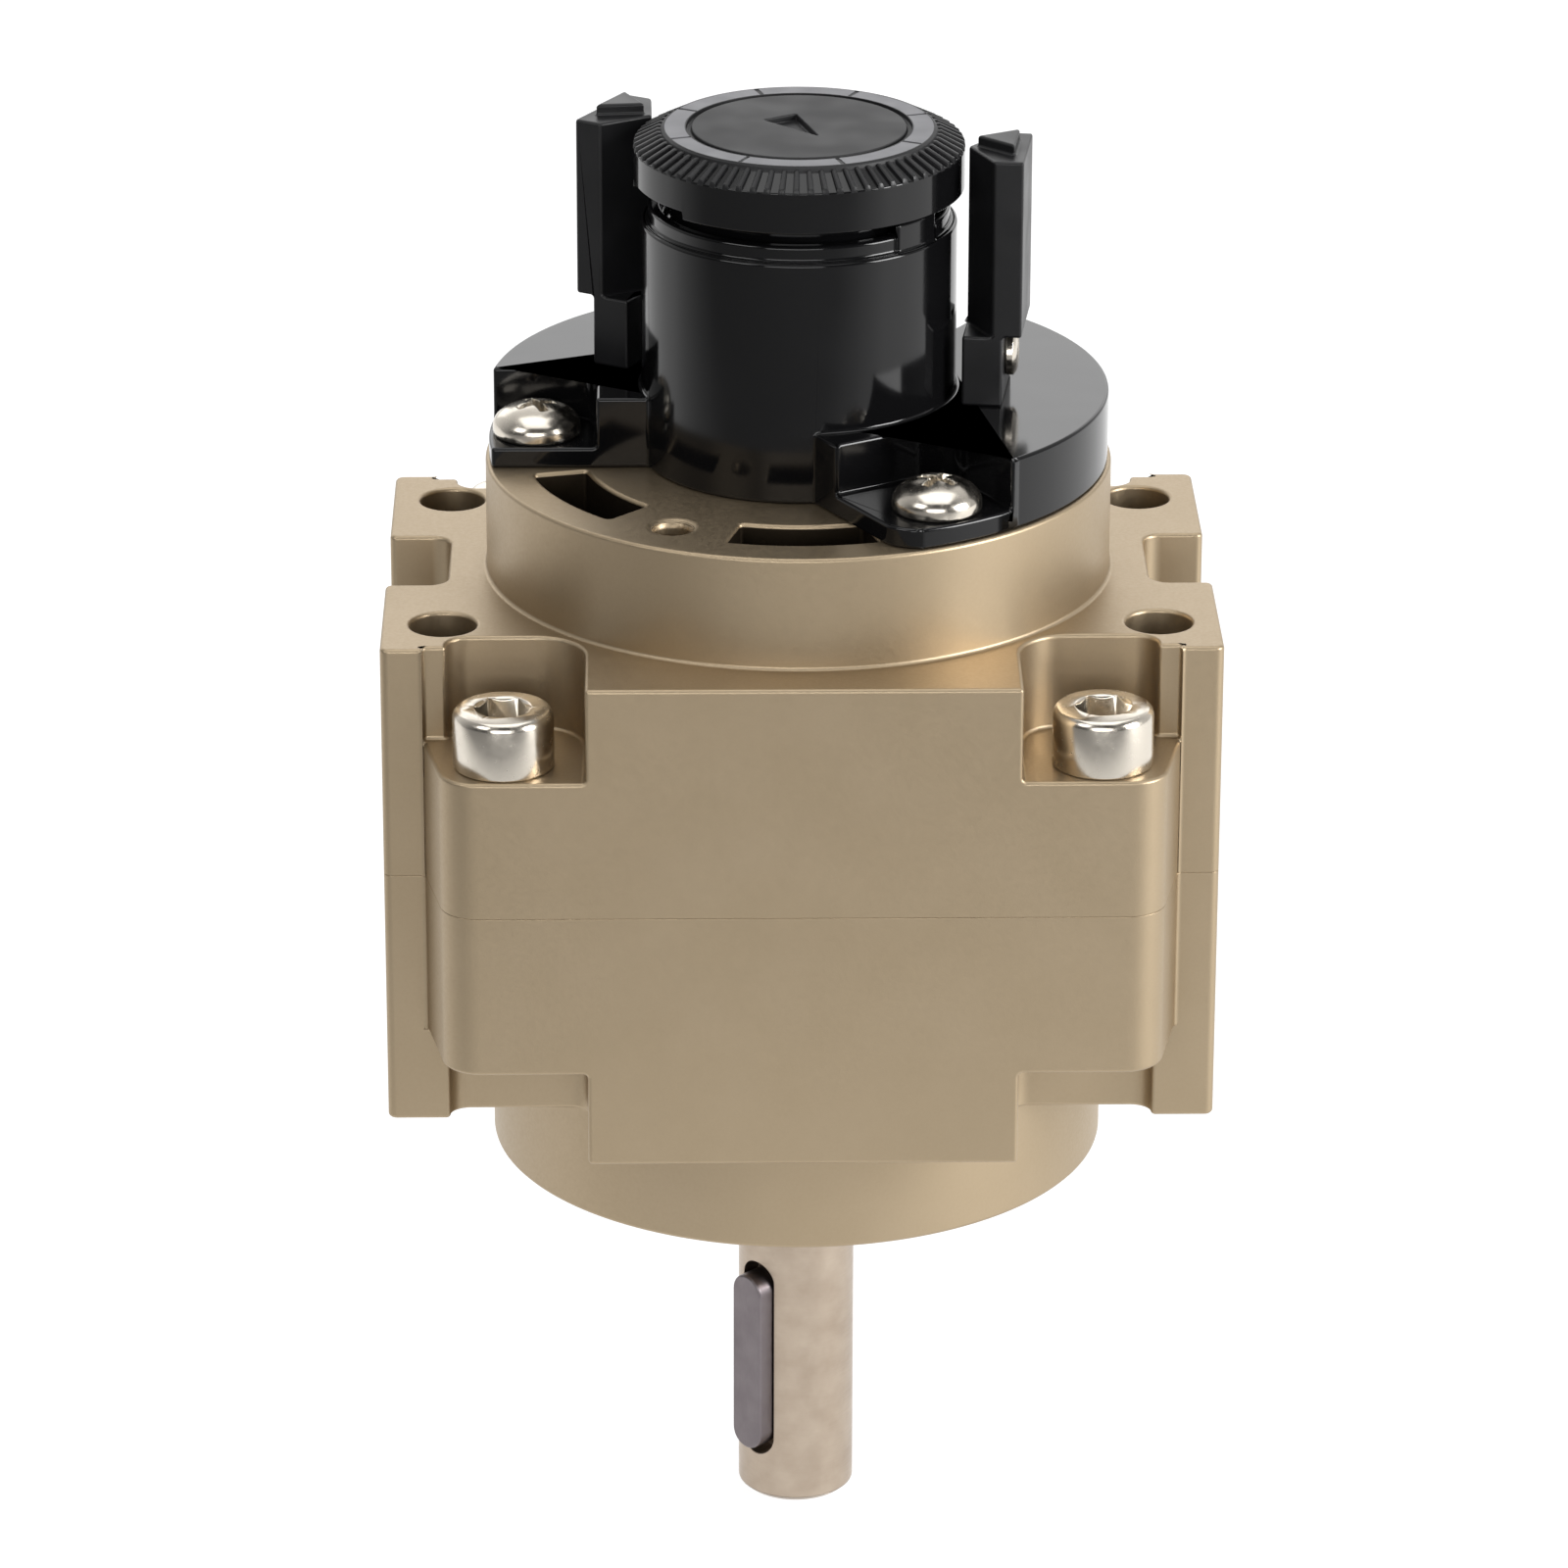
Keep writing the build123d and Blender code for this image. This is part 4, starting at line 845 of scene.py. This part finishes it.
@dataclass
class SwitchCover:
    """The moulded cover with its cut-away base, screw feet and housing, and its screws."""

    low: float
    top: float
    radius: float = 31.0
    base_h: float = 7.3
    foot_h: float = 2.1
    cut_front: float = 4.8
    foot_half_w: float = 6.7
    foot_corner_r: float = 5.0
    pocket_end_r: float = 3.5
    pockets: tuple = ((180, 20.2, 4.7, 9.0), (-60, 18.0, 9.0, 6.0), (60, 20.2, 5.6, 5.6))
    housing_r: float = 15.7
    wall: float = 1.8
    roof: float = 2.0
    roof_hole: float = 8.3
    screw_circle: float = 26.2
    screw_turns: tuple = (60, 180, 300)
    lug_turns: tuple[float, float] = (-52.0, -30.0)
    lug_in: float = 13.5
    lug_out: float = 15.35
    lug_h: float = 2.9
    collar: tuple[float, float, float] = (13.75, 15.0, 1.6)
    edge: float = 0.35

    def cover(self) -> bpy.types.Object:
        """The one-piece moulding."""
        base_top = self.low + self.base_h
        cover = lathe("cover", [(self.radius, self.low), (self.radius, base_top)], 192)
        turn = math.radians(-60)
        side = Vector((self.foot_half_w * math.sin(turn), -self.foot_half_w * math.cos(turn)))
        end = side + Vector((math.cos(turn), math.sin(turn))) * 2 * self.radius
        edge_point = side + Vector((math.cos(turn), math.sin(turn))) * math.sqrt(
            self.radius ** 2 - self.foot_half_w ** 2)
        far = 3 * self.radius
        front = rounded([(-far, -self.cut_front, 0.0), (-self.housing_r / 2, -self.cut_front, 0.0),
                         (side.x, side.y, 0.0), (end.x, end.y, 0.0), (-far, end.y, 0.0)])
        combine(cover, [prism("front_cut", front, self.low - 1, base_top + 1)], Operation.CUT)
        self.round_foot(cover, edge_point, turn)
        tools = []
        for turn_deg, reach, behind, ahead in self.pockets:
            plan = rounded([(reach, -behind, self.pocket_end_r), (far, -behind, 0.0),
                            (far, ahead, 0.0), (reach, ahead, self.pocket_end_r)], 10)
            place = Matrix.Rotation(math.radians(turn_deg), 4, "Z")
            tools.append(prism("foot", plan, self.low + self.foot_h, base_top + 1, place))
        combine(cover, tools, Operation.CUT)
        top = self.top - self.lug_h
        housing = lathe("housing", [(self.housing_r, self.low), (self.housing_r, top)], 160)
        lug = arc(self.lug_out, *self.lug_turns, 8) + arc(self.lug_in, *self.lug_turns[::-1], 8)
        inner, outer, rise = self.collar
        collar = lathe("collar", [(inner, top - 0.5), (outer, top - 0.5), (outer, top + rise),
                                  (inner, top + rise)], 160, ring=True)
        combine(cover, [housing, collar, prism("lug", lug, top - 0.5, self.top)], Operation.JOIN)
        inner = self.housing_r - self.wall
        hollow = lathe("hollow", [(inner, self.low - 1), (inner, top - self.roof),
                                  (self.roof_hole, top - self.roof),
                                  (self.roof_hole, top + 1)], 96)
        return combine(cover, [hollow], Operation.CUT)

    def round_foot(self, cover: bpy.types.Object, point: Vector, turn: float) -> None:
        """Round the front foot's outer corner.

        Args:
            cover: The cover, with its front already cut away.
            point: The corner in plan.
            turn: Direction of the foot, in radians.
        """
        along = -Vector((math.cos(turn), math.sin(turn)))
        across = Vector((math.cos(math.atan2(point.y, point.x) + math.pi / 2),
                         math.sin(math.atan2(point.y, point.x) + math.pi / 2)))
        size = self.foot_corner_r
        middle = point + (along + across) * size * 0.98
        start = point + along * size
        finish = point + across * size
        outward = (point - middle).normalized() * 4
        plan = [tuple(start), *[tuple(middle + (start - middle).normalized().slerp(
            (finish - middle).normalized(), k / 10) * (start - middle).length)
            for k in range(11)], tuple(finish), tuple(finish + outward), tuple(point + outward),
            tuple(start + outward)]
        tool = prism("foot_round", plan, self.low - 1, self.low + self.base_h + 1)
        combine(cover, [tool], Operation.CUT)

    def pan_screw(self) -> bpy.types.Object:
        """One M4 pan-head screw with a cross recess, its head's underside at height 0."""
        head_r, head_h, rim, shank_r, length = 4.4, 3.2, 0.9, 2.0, 10.0
        dome = [(head_r * math.cos(math.radians(t)),
                 rim + (head_h - rim) * math.sin(math.radians(t))) for t in range(0, 85, 6)]
        profile = [(shank_r, -length), (shank_r, 0), (head_r - 0.2, 0), (head_r, 0.25), *dome]
        screw = lathe("pan_screw", profile, 64)
        arm, half = 2.3, 0.5
        for turn in (0, 90):
            place = Matrix.Rotation(math.radians(turn + 25), 4, "Z")
            bar = [(-arm, -half), (arm, -half), (arm, half), (-arm, half)]
            combine(screw, [prism("cross", bar, head_h - 1.9, head_h + 0.4, place, 0.35)],
                    Operation.CUT)
        soften(screw, 0.1, segments=2)
        return screw

    def build(self) -> None:
        """Make the cover and its three screws."""
        cover = self.cover()
        clean(cover)
        soften(cover, self.edge)
        finish_piece(cover, "cover_moulding", Body.HOUSING, GLOSS_BLACK,
                     ["switch_cover", "cover_housing", "cover_roof"])
        screws = repeat("cover_screw_set", self.pan_screw(), NICKEL, True,
                        Height=self.low + self.foot_h, Count=3, Radius=self.screw_circle,
                        Phase=math.radians(self.screw_turns[0]))
        finish_piece(screws, "cover_screw_set", Body.HOUSING, NICKEL,
                     ["cover_screws"])


@dataclass
class Dial:
    """The position dial: bevelled cap, ribs, printed ring, arrow and the mark on its skirt."""

    top: float
    low: float = 89.8
    radius: float = 16.4
    bevel_h: float = 1.5
    ring_out: float = 13.4
    ring_in: float = 10.9
    groove_w: float = 0.5
    groove_depth: float = 0.45
    wall: float = 1.6
    skirt_h: float = 4.5
    boss_r: float = 12.9
    boss_low: float = 87.0
    boss_bore_r: float = 7.92
    boss_top: float = 91.9
    rib_count: int = 72
    rib_in: float = 13.75
    rib_w: float = 0.72
    rib_h: float = 0.36
    segments: int = 8
    segment_turn: float = -27.0
    line_deg: float = 2.2
    print_sink: float = 0.08
    arrow: tuple[float, float, float, float] = (7.6, 3.8, 1.2, -60.0)
    mark: tuple[float, float, float] = (-135.0, 42.0, 0.8)

    def bevel_z(self, radius: float) -> float:
        """Height of the bevel's surface at a radius."""
        return self.top - (radius - self.ring_out) * self.bevel_h / (self.radius - self.ring_out)

    def cap(self) -> bpy.types.Object:
        """The moulded cap, its bevel lowered between the ribs."""
        rim = self.low + self.skirt_h
        inner = self.radius - self.wall
        profile = [
            (inner, self.low), (self.radius, self.low), (self.radius, rim - self.rib_h),
            (self.rib_in, self.bevel_z(self.rib_in) - self.rib_h),
            (self.rib_in - 0.12, self.bevel_z(self.rib_in)), (self.ring_out, self.top),
        ]
        cap = lathe("cap", [(self.radius, self.low), *profile[2:]], 144)
        under = lathe("under", [(inner, self.low - 1), (inner, rim)], 144)
        combine(cap, [under], Operation.CUT)
        boss = lathe("boss", [(self.boss_r, self.boss_low), (self.boss_r, rim + 0.2)], 96)
        combine(cap, [boss], Operation.JOIN)
        bore = lathe("bore", [(self.boss_bore_r, self.boss_low - 1),
                              (self.boss_bore_r, self.boss_top)], 96)
        floor = self.top - self.groove_depth
        half = self.groove_w / 2
        groove = lathe("groove", [(self.ring_in - half, floor), (self.ring_in + half, floor),
                                  (self.ring_in + half + 0.1, self.top + 1),
                                  (self.ring_in - half - 0.1, self.top + 1)], 128, ring=True)
        side, base, back, turn = self.arrow
        height = math.sqrt(side ** 2 - (base / 2) ** 2)
        tip = [(-height / 3 - back, -base / 2), (2 * height / 3 - back, 0.0),
               (-height / 3 - back, base / 2)]
        arrow = prism("arrow", tip, self.top - 0.7, self.top + 1,
                      Matrix.Rotation(math.radians(turn), 4, "Z"))
        seat_in, seat_out = self.print_band()
        seat = lathe("seat", [(seat_in, self.top - self.print_sink),
                              (seat_out, self.top - self.print_sink),
                              (seat_out, self.top + 1), (seat_in, self.top + 1)], 128, ring=True)
        combine(cap, [bore, groove, arrow, seat], Operation.CUT)
        mark_turn, sweep, lift = self.mark
        wedge = arc(2 * self.radius, mark_turn - sweep, mark_turn, 16)
        wedge += arc(inner - 1.5, mark_turn, mark_turn - sweep, 16)
        return combine(cap, [prism("mark", wedge, self.low - 1, self.low + lift)], Operation.CUT)

    def rib(self) -> bpy.types.Object:
        """One rib lying along the bevel on the X axis, its foot sunk into the cap."""
        bm = bmesh.new()
        rings = []
        for radius in (self.rib_in - 0.1, self.rib_in + 0.25, self.radius - 0.12, self.radius):
            crown = self.bevel_z(radius)
            if radius in (self.rib_in - 0.1, self.radius):
                crown -= self.rib_h * 0.55
            foot = self.bevel_z(max(radius, self.rib_in)) - self.rib_h - 0.15
            half = self.rib_w / 2 * radius / self.radius
            section = [(-half, foot), (-half * 0.8, crown - 0.1), (-half * 0.4, crown),
                       (half * 0.4, crown), (half * 0.8, crown - 0.1), (half, foot)]
            rings.append([bm.verts.new((radius, y, z)) for y, z in section])
        for a, b in zip(rings, rings[1:]):
            for k in range(6):
                m = (k + 1) % 6
                bm.faces.new((a[k], a[m], b[m], b[k]))
        bm.faces.new(rings[0])
        bm.faces.new(rings[-1])
        bmesh.ops.recalc_face_normals(bm, faces=bm.faces)
        return mesh_object("rib", bm)

    def print_segment(self) -> bpy.types.Object:
        """One segment of grey print on the ring, centred on the X axis."""
        half = 180 / self.segments - self.line_deg / 2
        low, high = self.print_band()
        plan = arc(high, -half, half, 18) + arc(low, half, -half, 18)
        return prism("print", plan, -self.print_sink - 0.02, -0.01)

    def print_band(self) -> tuple[float, float]:
        """Inner and outer radius of the printed ring."""
        return self.ring_in + self.groove_w / 2 + 0.15, self.ring_out - 0.1

    def edge_rule(self, middle: Vector, along: Vector) -> float:
        """Keep the thin steps of the printed ring sharp, and break every other edge."""
        thin = math.hypot(middle.x, middle.y) > self.ring_in - 0.1
        return 0.0 if thin and middle.z > self.top - 0.3 else 1.0

    def build(self) -> None:
        """Make the cap, its ribs and its print."""
        cap = self.cap()
        clean(cap)
        soften(cap, 0.15, self.edge_rule, segments=2)
        finish_piece(cap, "dial_cap", Body.ROTOR, GLOSS_BLACK, ["dial"])
        dress_faces(cap, MATT_BLACK, lambda spot: spot.z > self.top - 0.75)
        ribs = repeat("dial_ribs", self.rib(), SATIN_BLACK, True, Count=self.rib_count,
                      Radius=0.0, Height=0.0, Phase=math.radians(self.segment_turn))
        finish_piece(ribs, "dial_ribs", Body.ROTOR, SATIN_BLACK, [])
        step = 360 / self.segments
        prints = repeat("dial_print", self.print_segment(), GREY_PRINT, True, Radius=0.0,
                        Count=self.segments, Height=self.top,
                        Phase=math.radians(self.segment_turn + step / 2))
        finish_piece(prints, "dial_print", Body.ROTOR, GREY_PRINT, [])


@dataclass
class SwitchBlock:
    """One switch block: foot, nose with a raised pointer on top, and its clamp screw."""

    side: str
    turn: float
    body: Body
    low: float
    height: float = 25.3
    foot_h: float = 7.2
    half_t: float = 5.1
    out: float = 22.7
    shoulder: float = 19.8
    tip: float = 16.8
    foot_out: float = 20.8
    pointer: tuple[float, float, float, float] = (17.6, 21.6, 2.9, 1.1)
    screw_z: float = 4.2

    def build(self) -> None:
        """Make the block and its screw."""
        place = Matrix.Rotation(math.radians(self.turn), 4, "Z")
        top = self.low + self.height
        step = self.low + self.foot_h
        nose = [(self.tip, 0.0), (self.shoulder, -self.half_t), (self.out, -self.half_t),
                (self.out, self.half_t), (self.shoulder, self.half_t)]
        block = prism("block", nose, step, top, place)
        foot = [(self.tip, -self.half_t), (self.foot_out, -self.half_t),
                (self.foot_out, self.half_t), (self.tip, self.half_t)]
        tip, base, half, rise = self.pointer
        arrow = [(tip, 0.0), (base, -half), (base, half)]
        combine(block, [prism("foot", foot, self.low, step + 0.01, place),
                        prism("pointer", arrow, top - 0.1, top + rise, place)], Operation.JOIN)
        clean(block)
        soften(block, 0.3, segments=3)
        finish_piece(block, f"{self.side}_block_moulding", self.body, SATIN_BLACK,
                     [f"{self.side}_switch_block"])
        seat = Matrix.Translation((self.foot_out, 0, self.low + self.screw_z))
        seat = place @ seat @ Matrix.Rotation(math.radians(90), 4, "Y")
        screw = lathe("screw", [(1.4, -3.9), (1.45, 0), (2.25, 0), (2.4, 0.2), (2.35, 0.8),
                                (1.9, 1.1), (1.0, 1.2)], 48)
        slot_cut = prism("slot", [(-3, -0.3), (3, -0.3), (3, 0.3), (-3, 0.3)], 0.6, 2)
        combine(screw, [slot_cut], Operation.CUT)
        screw.data.transform(seat)
        soften(screw, 0.05, segments=2)
        finish_piece(screw, f"{self.side}_clamp_screw", self.body, NICKEL,
                     [f"{self.side}_block_screw"])


@dataclass
class RotorShaft:
    """The turned shaft with its keyway, and the round-ended key."""

    end: float
    radius: float = 6.0
    end_break: float = 0.7
    key_turn: float = -135.0
    key_z: float = -37.3
    key_w: float = 4.0
    key_len: float = 20.0
    keyway_len: float = 22.2
    key_stand: float = 1.5
    key_h: float = 4.0
    journal: float = 7.0
    journal_low: float = -1.8
    journal_top: float = 51.9
    hub_r: float = 9.0
    hub: tuple[float, float] = (11.45, 41.35)
    tail_low: float = 64.0
    tail_r: float = 4.5
    tail_top: float = 86.0
    tail_break: float = 0.7
    vane_reach: float = 26.25
    vane_half: float = 4.0
    vane: tuple[float, float] = (13.15, 39.65)

    def upright_slot(self, name: str, length: float, width: float, low: float,
                     high: float) -> bpy.types.Object:
        """A round-ended bar standing in the keyway.

        Args:
            name: The object's name.
            length: Length over the round ends.
            width: Width of the bar.
            low: Reach of its inner face from the axis.
            high: Reach of its outer face.

        Returns:
            The bar.
        """
        half = width / 2
        plan = [(length / 2 - half + x, y) for x, y in arc(half, -90, 90, 16)]
        plan += [(-length / 2 + half + x, y) for x, y in arc(half, 90, 270, 16)]
        turn = math.radians(self.key_turn)
        out = Vector((math.cos(turn), math.sin(turn), 0))
        up = Vector((0, 0, 1))
        basis = Matrix((up, out.cross(up), out)).transposed().to_4x4()
        return prism(name, plan, low, high, Matrix.Translation((0, 0, self.key_z)) @ basis)

    def build(self) -> None:
        """Make the shaft from the CAD's own steps below the bearing, and the key."""
        r, brk = self.radius, self.end_break
        ring = self.keyway_len / 2 + 0.8
        hub_low, hub_top = self.hub
        profile = [
            (r - brk - 0.5, self.end), (r - brk, self.end + 0.02), (r - 0.06, self.end + brk - 0.1),
            (r, self.end + brk), (r, self.end + 2.6), (r, self.key_z + ring),
            (r, self.journal_low), (self.journal, self.journal_low), (self.journal, hub_low),
            (self.hub_r, hub_low), (self.hub_r, hub_top), (self.journal, hub_top),
            (self.journal, self.journal_top), (r, self.journal_top), (r, self.tail_low),
            (self.tail_r, self.tail_low), (self.tail_r, self.tail_top - self.tail_break),
            (self.tail_r - self.tail_break, self.tail_top),
        ]
        shaft = lathe("shaft", profile, 128)
        floor = r + self.key_stand - self.key_h
        keyway = self.upright_slot("keyway", self.keyway_len, self.key_w + 0.24, floor, r + 2)
        reach, half = self.vane_reach, self.vane_half
        blade = prism("vane", [(0.0, -half), (reach, -half), (reach, half), (0.0, half)],
                      *self.vane, Matrix.Rotation(math.radians(self.key_turn), 4, "Z"))
        combine(shaft, [keyway], Operation.CUT)
        combine(shaft, [blade], Operation.JOIN)
        clean(shaft)
        soften(shaft, 0.12, segments=2)
        finish_piece(shaft, "output_shaft", Body.ROTOR, TURNED, ["vane_shaft"])
        key = self.upright_slot("key", self.key_len, self.key_w, floor, floor + self.key_h)
        soften(key, 0.3, segments=3)
        finish_piece(key, "parallel_key", Body.ROTOR, DRAWN, ["shaft_key"])


@dataclass
class Bearings:
    """The ball sets, repeated round their tracks."""

    track_r: float = 10.0
    ball_r: float = 2.38
    count: int = 8
    places: dict = field(default_factory=lambda: {
        "lower": (Body.LOWER_BALLS, -5.8), "upper": (Body.UPPER_BALLS, 55.9)})

    def build(self) -> None:
        """Make both ball sets."""
        for place, (body, height) in self.places.items():
            bm = bmesh.new()
            bmesh.ops.create_uvsphere(bm, u_segments=32, v_segments=20, radius=self.ball_r)
            balls = repeat(f"{place}_balls", mesh_object("ball", bm), GROUND, True,
                           Count=self.count, Radius=self.track_r, Height=height, Phase=0.0)
            finish_piece(balls, f"{place}_ball_row", body, GROUND,
                         [f"{place}_bearing_balls"])


CAD_FINISHES: dict[str, tuple[str, Finish]] = {
    "body_seal": ("seal_rubber", NITRILE),
    "stopper_seal": ("seal_rubber", NITRILE),
    "vane_seal": ("seal_rubber", NITRILE),
    "lower_shaft_seal": ("seal_rubber", NITRILE),
    "upper_shaft_seal": ("seal_rubber", NITRILE),
    "stopper": ("stopper_aluminium", MILLED),
    "stopper_pin": ("hardened_pin", GROUND),
    "body_dowels": ("hardened_pin", GROUND),
    "lever_set_screw": ("hardened_pin", BLACKENED),
    "lower_bearing_outer_race": ("bearing_steel", GROUND),
    "upper_bearing_outer_race": ("bearing_steel", GROUND),
    "lower_bearing_inner_race": ("bearing_steel", GROUND),
    "upper_bearing_inner_race": ("bearing_steel", GROUND),
    "lower_bearing_cage": ("pressed_steel", PRESSED),
    "upper_bearing_cage": ("pressed_steel", PRESSED),
    "lower_seal_washer": ("pressed_steel", PRESSED),
    "upper_seal_washer": ("pressed_steel", PRESSED),
    "lower_retaining_ring": ("spring_steel", BLACKENED),
    "upper_retaining_ring": ("spring_steel", BLACKENED),
    "magnet_lever": ("lever_plastic", SATIN_BLACK),
    "lever_magnet": ("magnet_ferrite", FERRITE),
}


def dress_cad_nodes() -> None:
    """Give each CAD node that stays in the scene its finish."""
    for name, (slot, finish) in CAD_FINISHES.items():
        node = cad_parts[name]
        node.data.materials.clear()
        node.data.materials.append(finish.material())
        LOG.info("%s keeps its CAD mesh", name)


@dataclass
class Studio:
    """Camera, lamps, floor and surroundings."""

    camera_at: tuple[float, float, float] = (-12.98, -705.81, 311.27)
    aim: tuple[float, float, float] = (-1.364, 0.02, 25.80)
    roll_deg: float = 0.12
    lens: float = 171.19
    floor_z: float = -53.5

    def camera(self) -> None:
        """The camera fitted to the photograph."""
        data = bpy.data.cameras.new("camera")
        data.lens = self.lens
        data.sensor_width = 36.0
        data.clip_start, data.clip_end = 0.05, 50.0
        camera = bpy.data.objects.new("camera", data)
        bpy.context.scene.collection.objects.link(camera)
        at, aim = Vector(self.camera_at), Vector(self.aim)
        turn = (aim - at).to_track_quat("-Z", "Y").to_matrix().to_4x4()
        roll = Matrix.Rotation(math.radians(self.roll_deg), 4, "Z")
        camera.matrix_world = Matrix.Translation(at * METRES) @ turn @ roll
        bpy.context.scene.camera = camera

    def lamp(self, name: str, at: tuple[float, float, float], size: tuple[float, float],
             power: float) -> None:
        """A rectangular softbox aimed at the middle of the object.

        Args:
            name: The lamp's name.
            at: Its place, in metres.
            size: Its width and height, in metres.
            power: Watts.
        """
        data = bpy.data.lights.new(name, "AREA")
        data.shape = "RECTANGLE"
        data.size, data.size_y = size
        data.energy = power
        lamp = bpy.data.objects.new(name, data)
        bpy.context.scene.collection.objects.link(lamp)
        place = Vector(at)
        turn = (Vector((0, 0, 0.05)) - place).to_track_quat("-Z", "Y")
        lamp.matrix_world = Matrix.Translation(place) @ turn.to_matrix().to_4x4()
        lamp.visible_camera = False

    def floor(self) -> None:
        """A floor that keeps the object's shadow, white to the camera and graded in mirrors."""
        bm = bmesh.new()
        bmesh.ops.create_grid(bm, x_segments=1, y_segments=1, size=4000)
        bm.transform(Matrix.Translation((0, 0, self.floor_z)))
        floor = mesh_object("floor", bm)
        floor.data.transform(Matrix.Scale(METRES, 4))
        material, tree, shader = new_material("pale_floor")
        shader.inputs["Base Color"].default_value = linear("#808080")
        shader.inputs["Roughness"].default_value = 0.9
        shader.inputs["Specular IOR Level"].default_value = 0.1
        shader.inputs["Emission Color"].default_value = (1.0, 1.0, 1.0, 1.0)
        paths = add_node(tree, "ShaderNodeLightPath").outputs
        place = add_node(tree, "ShaderNodeTexCoord").outputs["Object"]
        depth = add_node(tree, "ShaderNodeVectorMath", {
            "operation": "DOT_PRODUCT", 1: (0.35, 1.0, 0.0)}, {0: place}).outputs["Value"]
        room = add_node(tree, "ShaderNodeMapRange", {
            "From Min": -0.32, "From Max": -0.06, "To Min": 0.05, "To Max": 1.0},
            {"Value": depth})
        mirrored = add_node(tree, "ShaderNodeMath", {"operation": "MAXIMUM"},
                            {0: paths["Is Glossy Ray"], 1: paths["Is Transmission Ray"]})
        glow = add_node(tree, "ShaderNodeMath", {"operation": "MULTIPLY"},
                        {0: mirrored.outputs[0], 1: room.outputs[0]})
        strength = add_node(tree, "ShaderNodeMix", {3: 0.9},
                            {0: paths["Is Camera Ray"], 2: glow.outputs[0]})
        tree.links.new(strength.outputs[0], shader.inputs["Emission Strength"])
        floor.data.materials.append(material)

    def world(self) -> None:
        """Pale surroundings, white behind the object and dim in front for mirrored rays."""
        world = bpy.data.worlds.new("studio")
        world.use_nodes = True
        tree = world.node_tree
        tree.nodes.clear()
        paths = add_node(tree, "ShaderNodeLightPath").outputs
        toward = add_node(tree, "ShaderNodeTexCoord").outputs["Generated"]
        depth = add_node(tree, "ShaderNodeSeparateXYZ", links={0: toward}).outputs["Y"]
        room = add_node(tree, "ShaderNodeMapRange", {
            "From Min": -0.4, "From Max": 0.7, "To Min": 0.05, "To Max": 0.85}, {"Value": depth})
        mirrored = add_node(tree, "ShaderNodeMath", {"operation": "MAXIMUM"},
                            {0: paths["Is Glossy Ray"], 1: paths["Is Transmission Ray"]})
        plain = add_node(tree, "ShaderNodeMix", {2: 0.25},
                         {0: mirrored.outputs[0], 3: room.outputs[0]})
        strength = add_node(tree, "ShaderNodeMix", {3: 1.0},
                            {0: paths["Is Camera Ray"], 2: plain.outputs[0]})
        sky = add_node(tree, "ShaderNodeBackground", {"Color": (1.0, 1.0, 1.0, 1.0)},
                       {"Strength": strength.outputs[0]})
        add_node(tree, "ShaderNodeOutputWorld", links={"Surface": sky.outputs[0]})
        bpy.context.scene.world = world

    def build(self) -> None:
        """Set the stage."""
        self.camera()
        self.lamp("softbox_left", (-1.1, -0.9, 1.1), (0.7, 0.7), 6)
        self.lamp("softbox_right", (1.25, -0.55, 0.5), (0.6, 0.8), 25)
        self.lamp("softbox_top", (0.0, -0.05, 1.0), (0.9, 0.9), 4.2)
        self.lamp("softbox_back", (0.0, 1.6, 0.75), (2.4, 0.9), 7)
        self.lamp("front_low", (-0.1, -1.3, 0.35), (1.0, 0.5), 7)
        self.floor()
        self.world()
        bpy.context.scene.view_settings.view_transform = "Standard"


def top_of(node: str) -> float:
    """Height of a CAD node's top, in millimetres."""
    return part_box(node)[1].z / METRES


def bottom_of(node: str) -> float:
    """Height of a CAD node's underside, in millimetres."""
    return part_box(node)[0].z / METRES


def main() -> None:
    """Build every sub-assembly round the frame, then the studio."""
    logging.basicConfig(level=logging.INFO, format="%(name)s: %(message)s")
    body_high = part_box("body_upper")[1] / METRES
    block = BodyBlock(top=body_high.z, joint=bottom_of("body_upper"),
                      spigot_low=bottom_of("lower_spigot"), spigot_top=top_of("upper_spigot"),
                      ear_half_w=body_high.x, half_d=body_high.y)
    block.build()
    SwitchCover(low=bottom_of("switch_cover"), top=top_of("cover_roof")).build()
    Dial(top=top_of("dial")).build()
    for side, turn, body in (("left", 150.0, Body.LEFT_SWITCH), ("right", -7.6, Body.RIGHT_SWITCH)):
        SwitchBlock(side, turn, body, low=bottom_of(f"{side}_switch_block")).build()
    RotorShaft(end=bottom_of("vane_shaft")).build()
    Bearings().build()
    dress_cad_nodes()
    Studio().build()


if __name__ == "__main__":
    main()
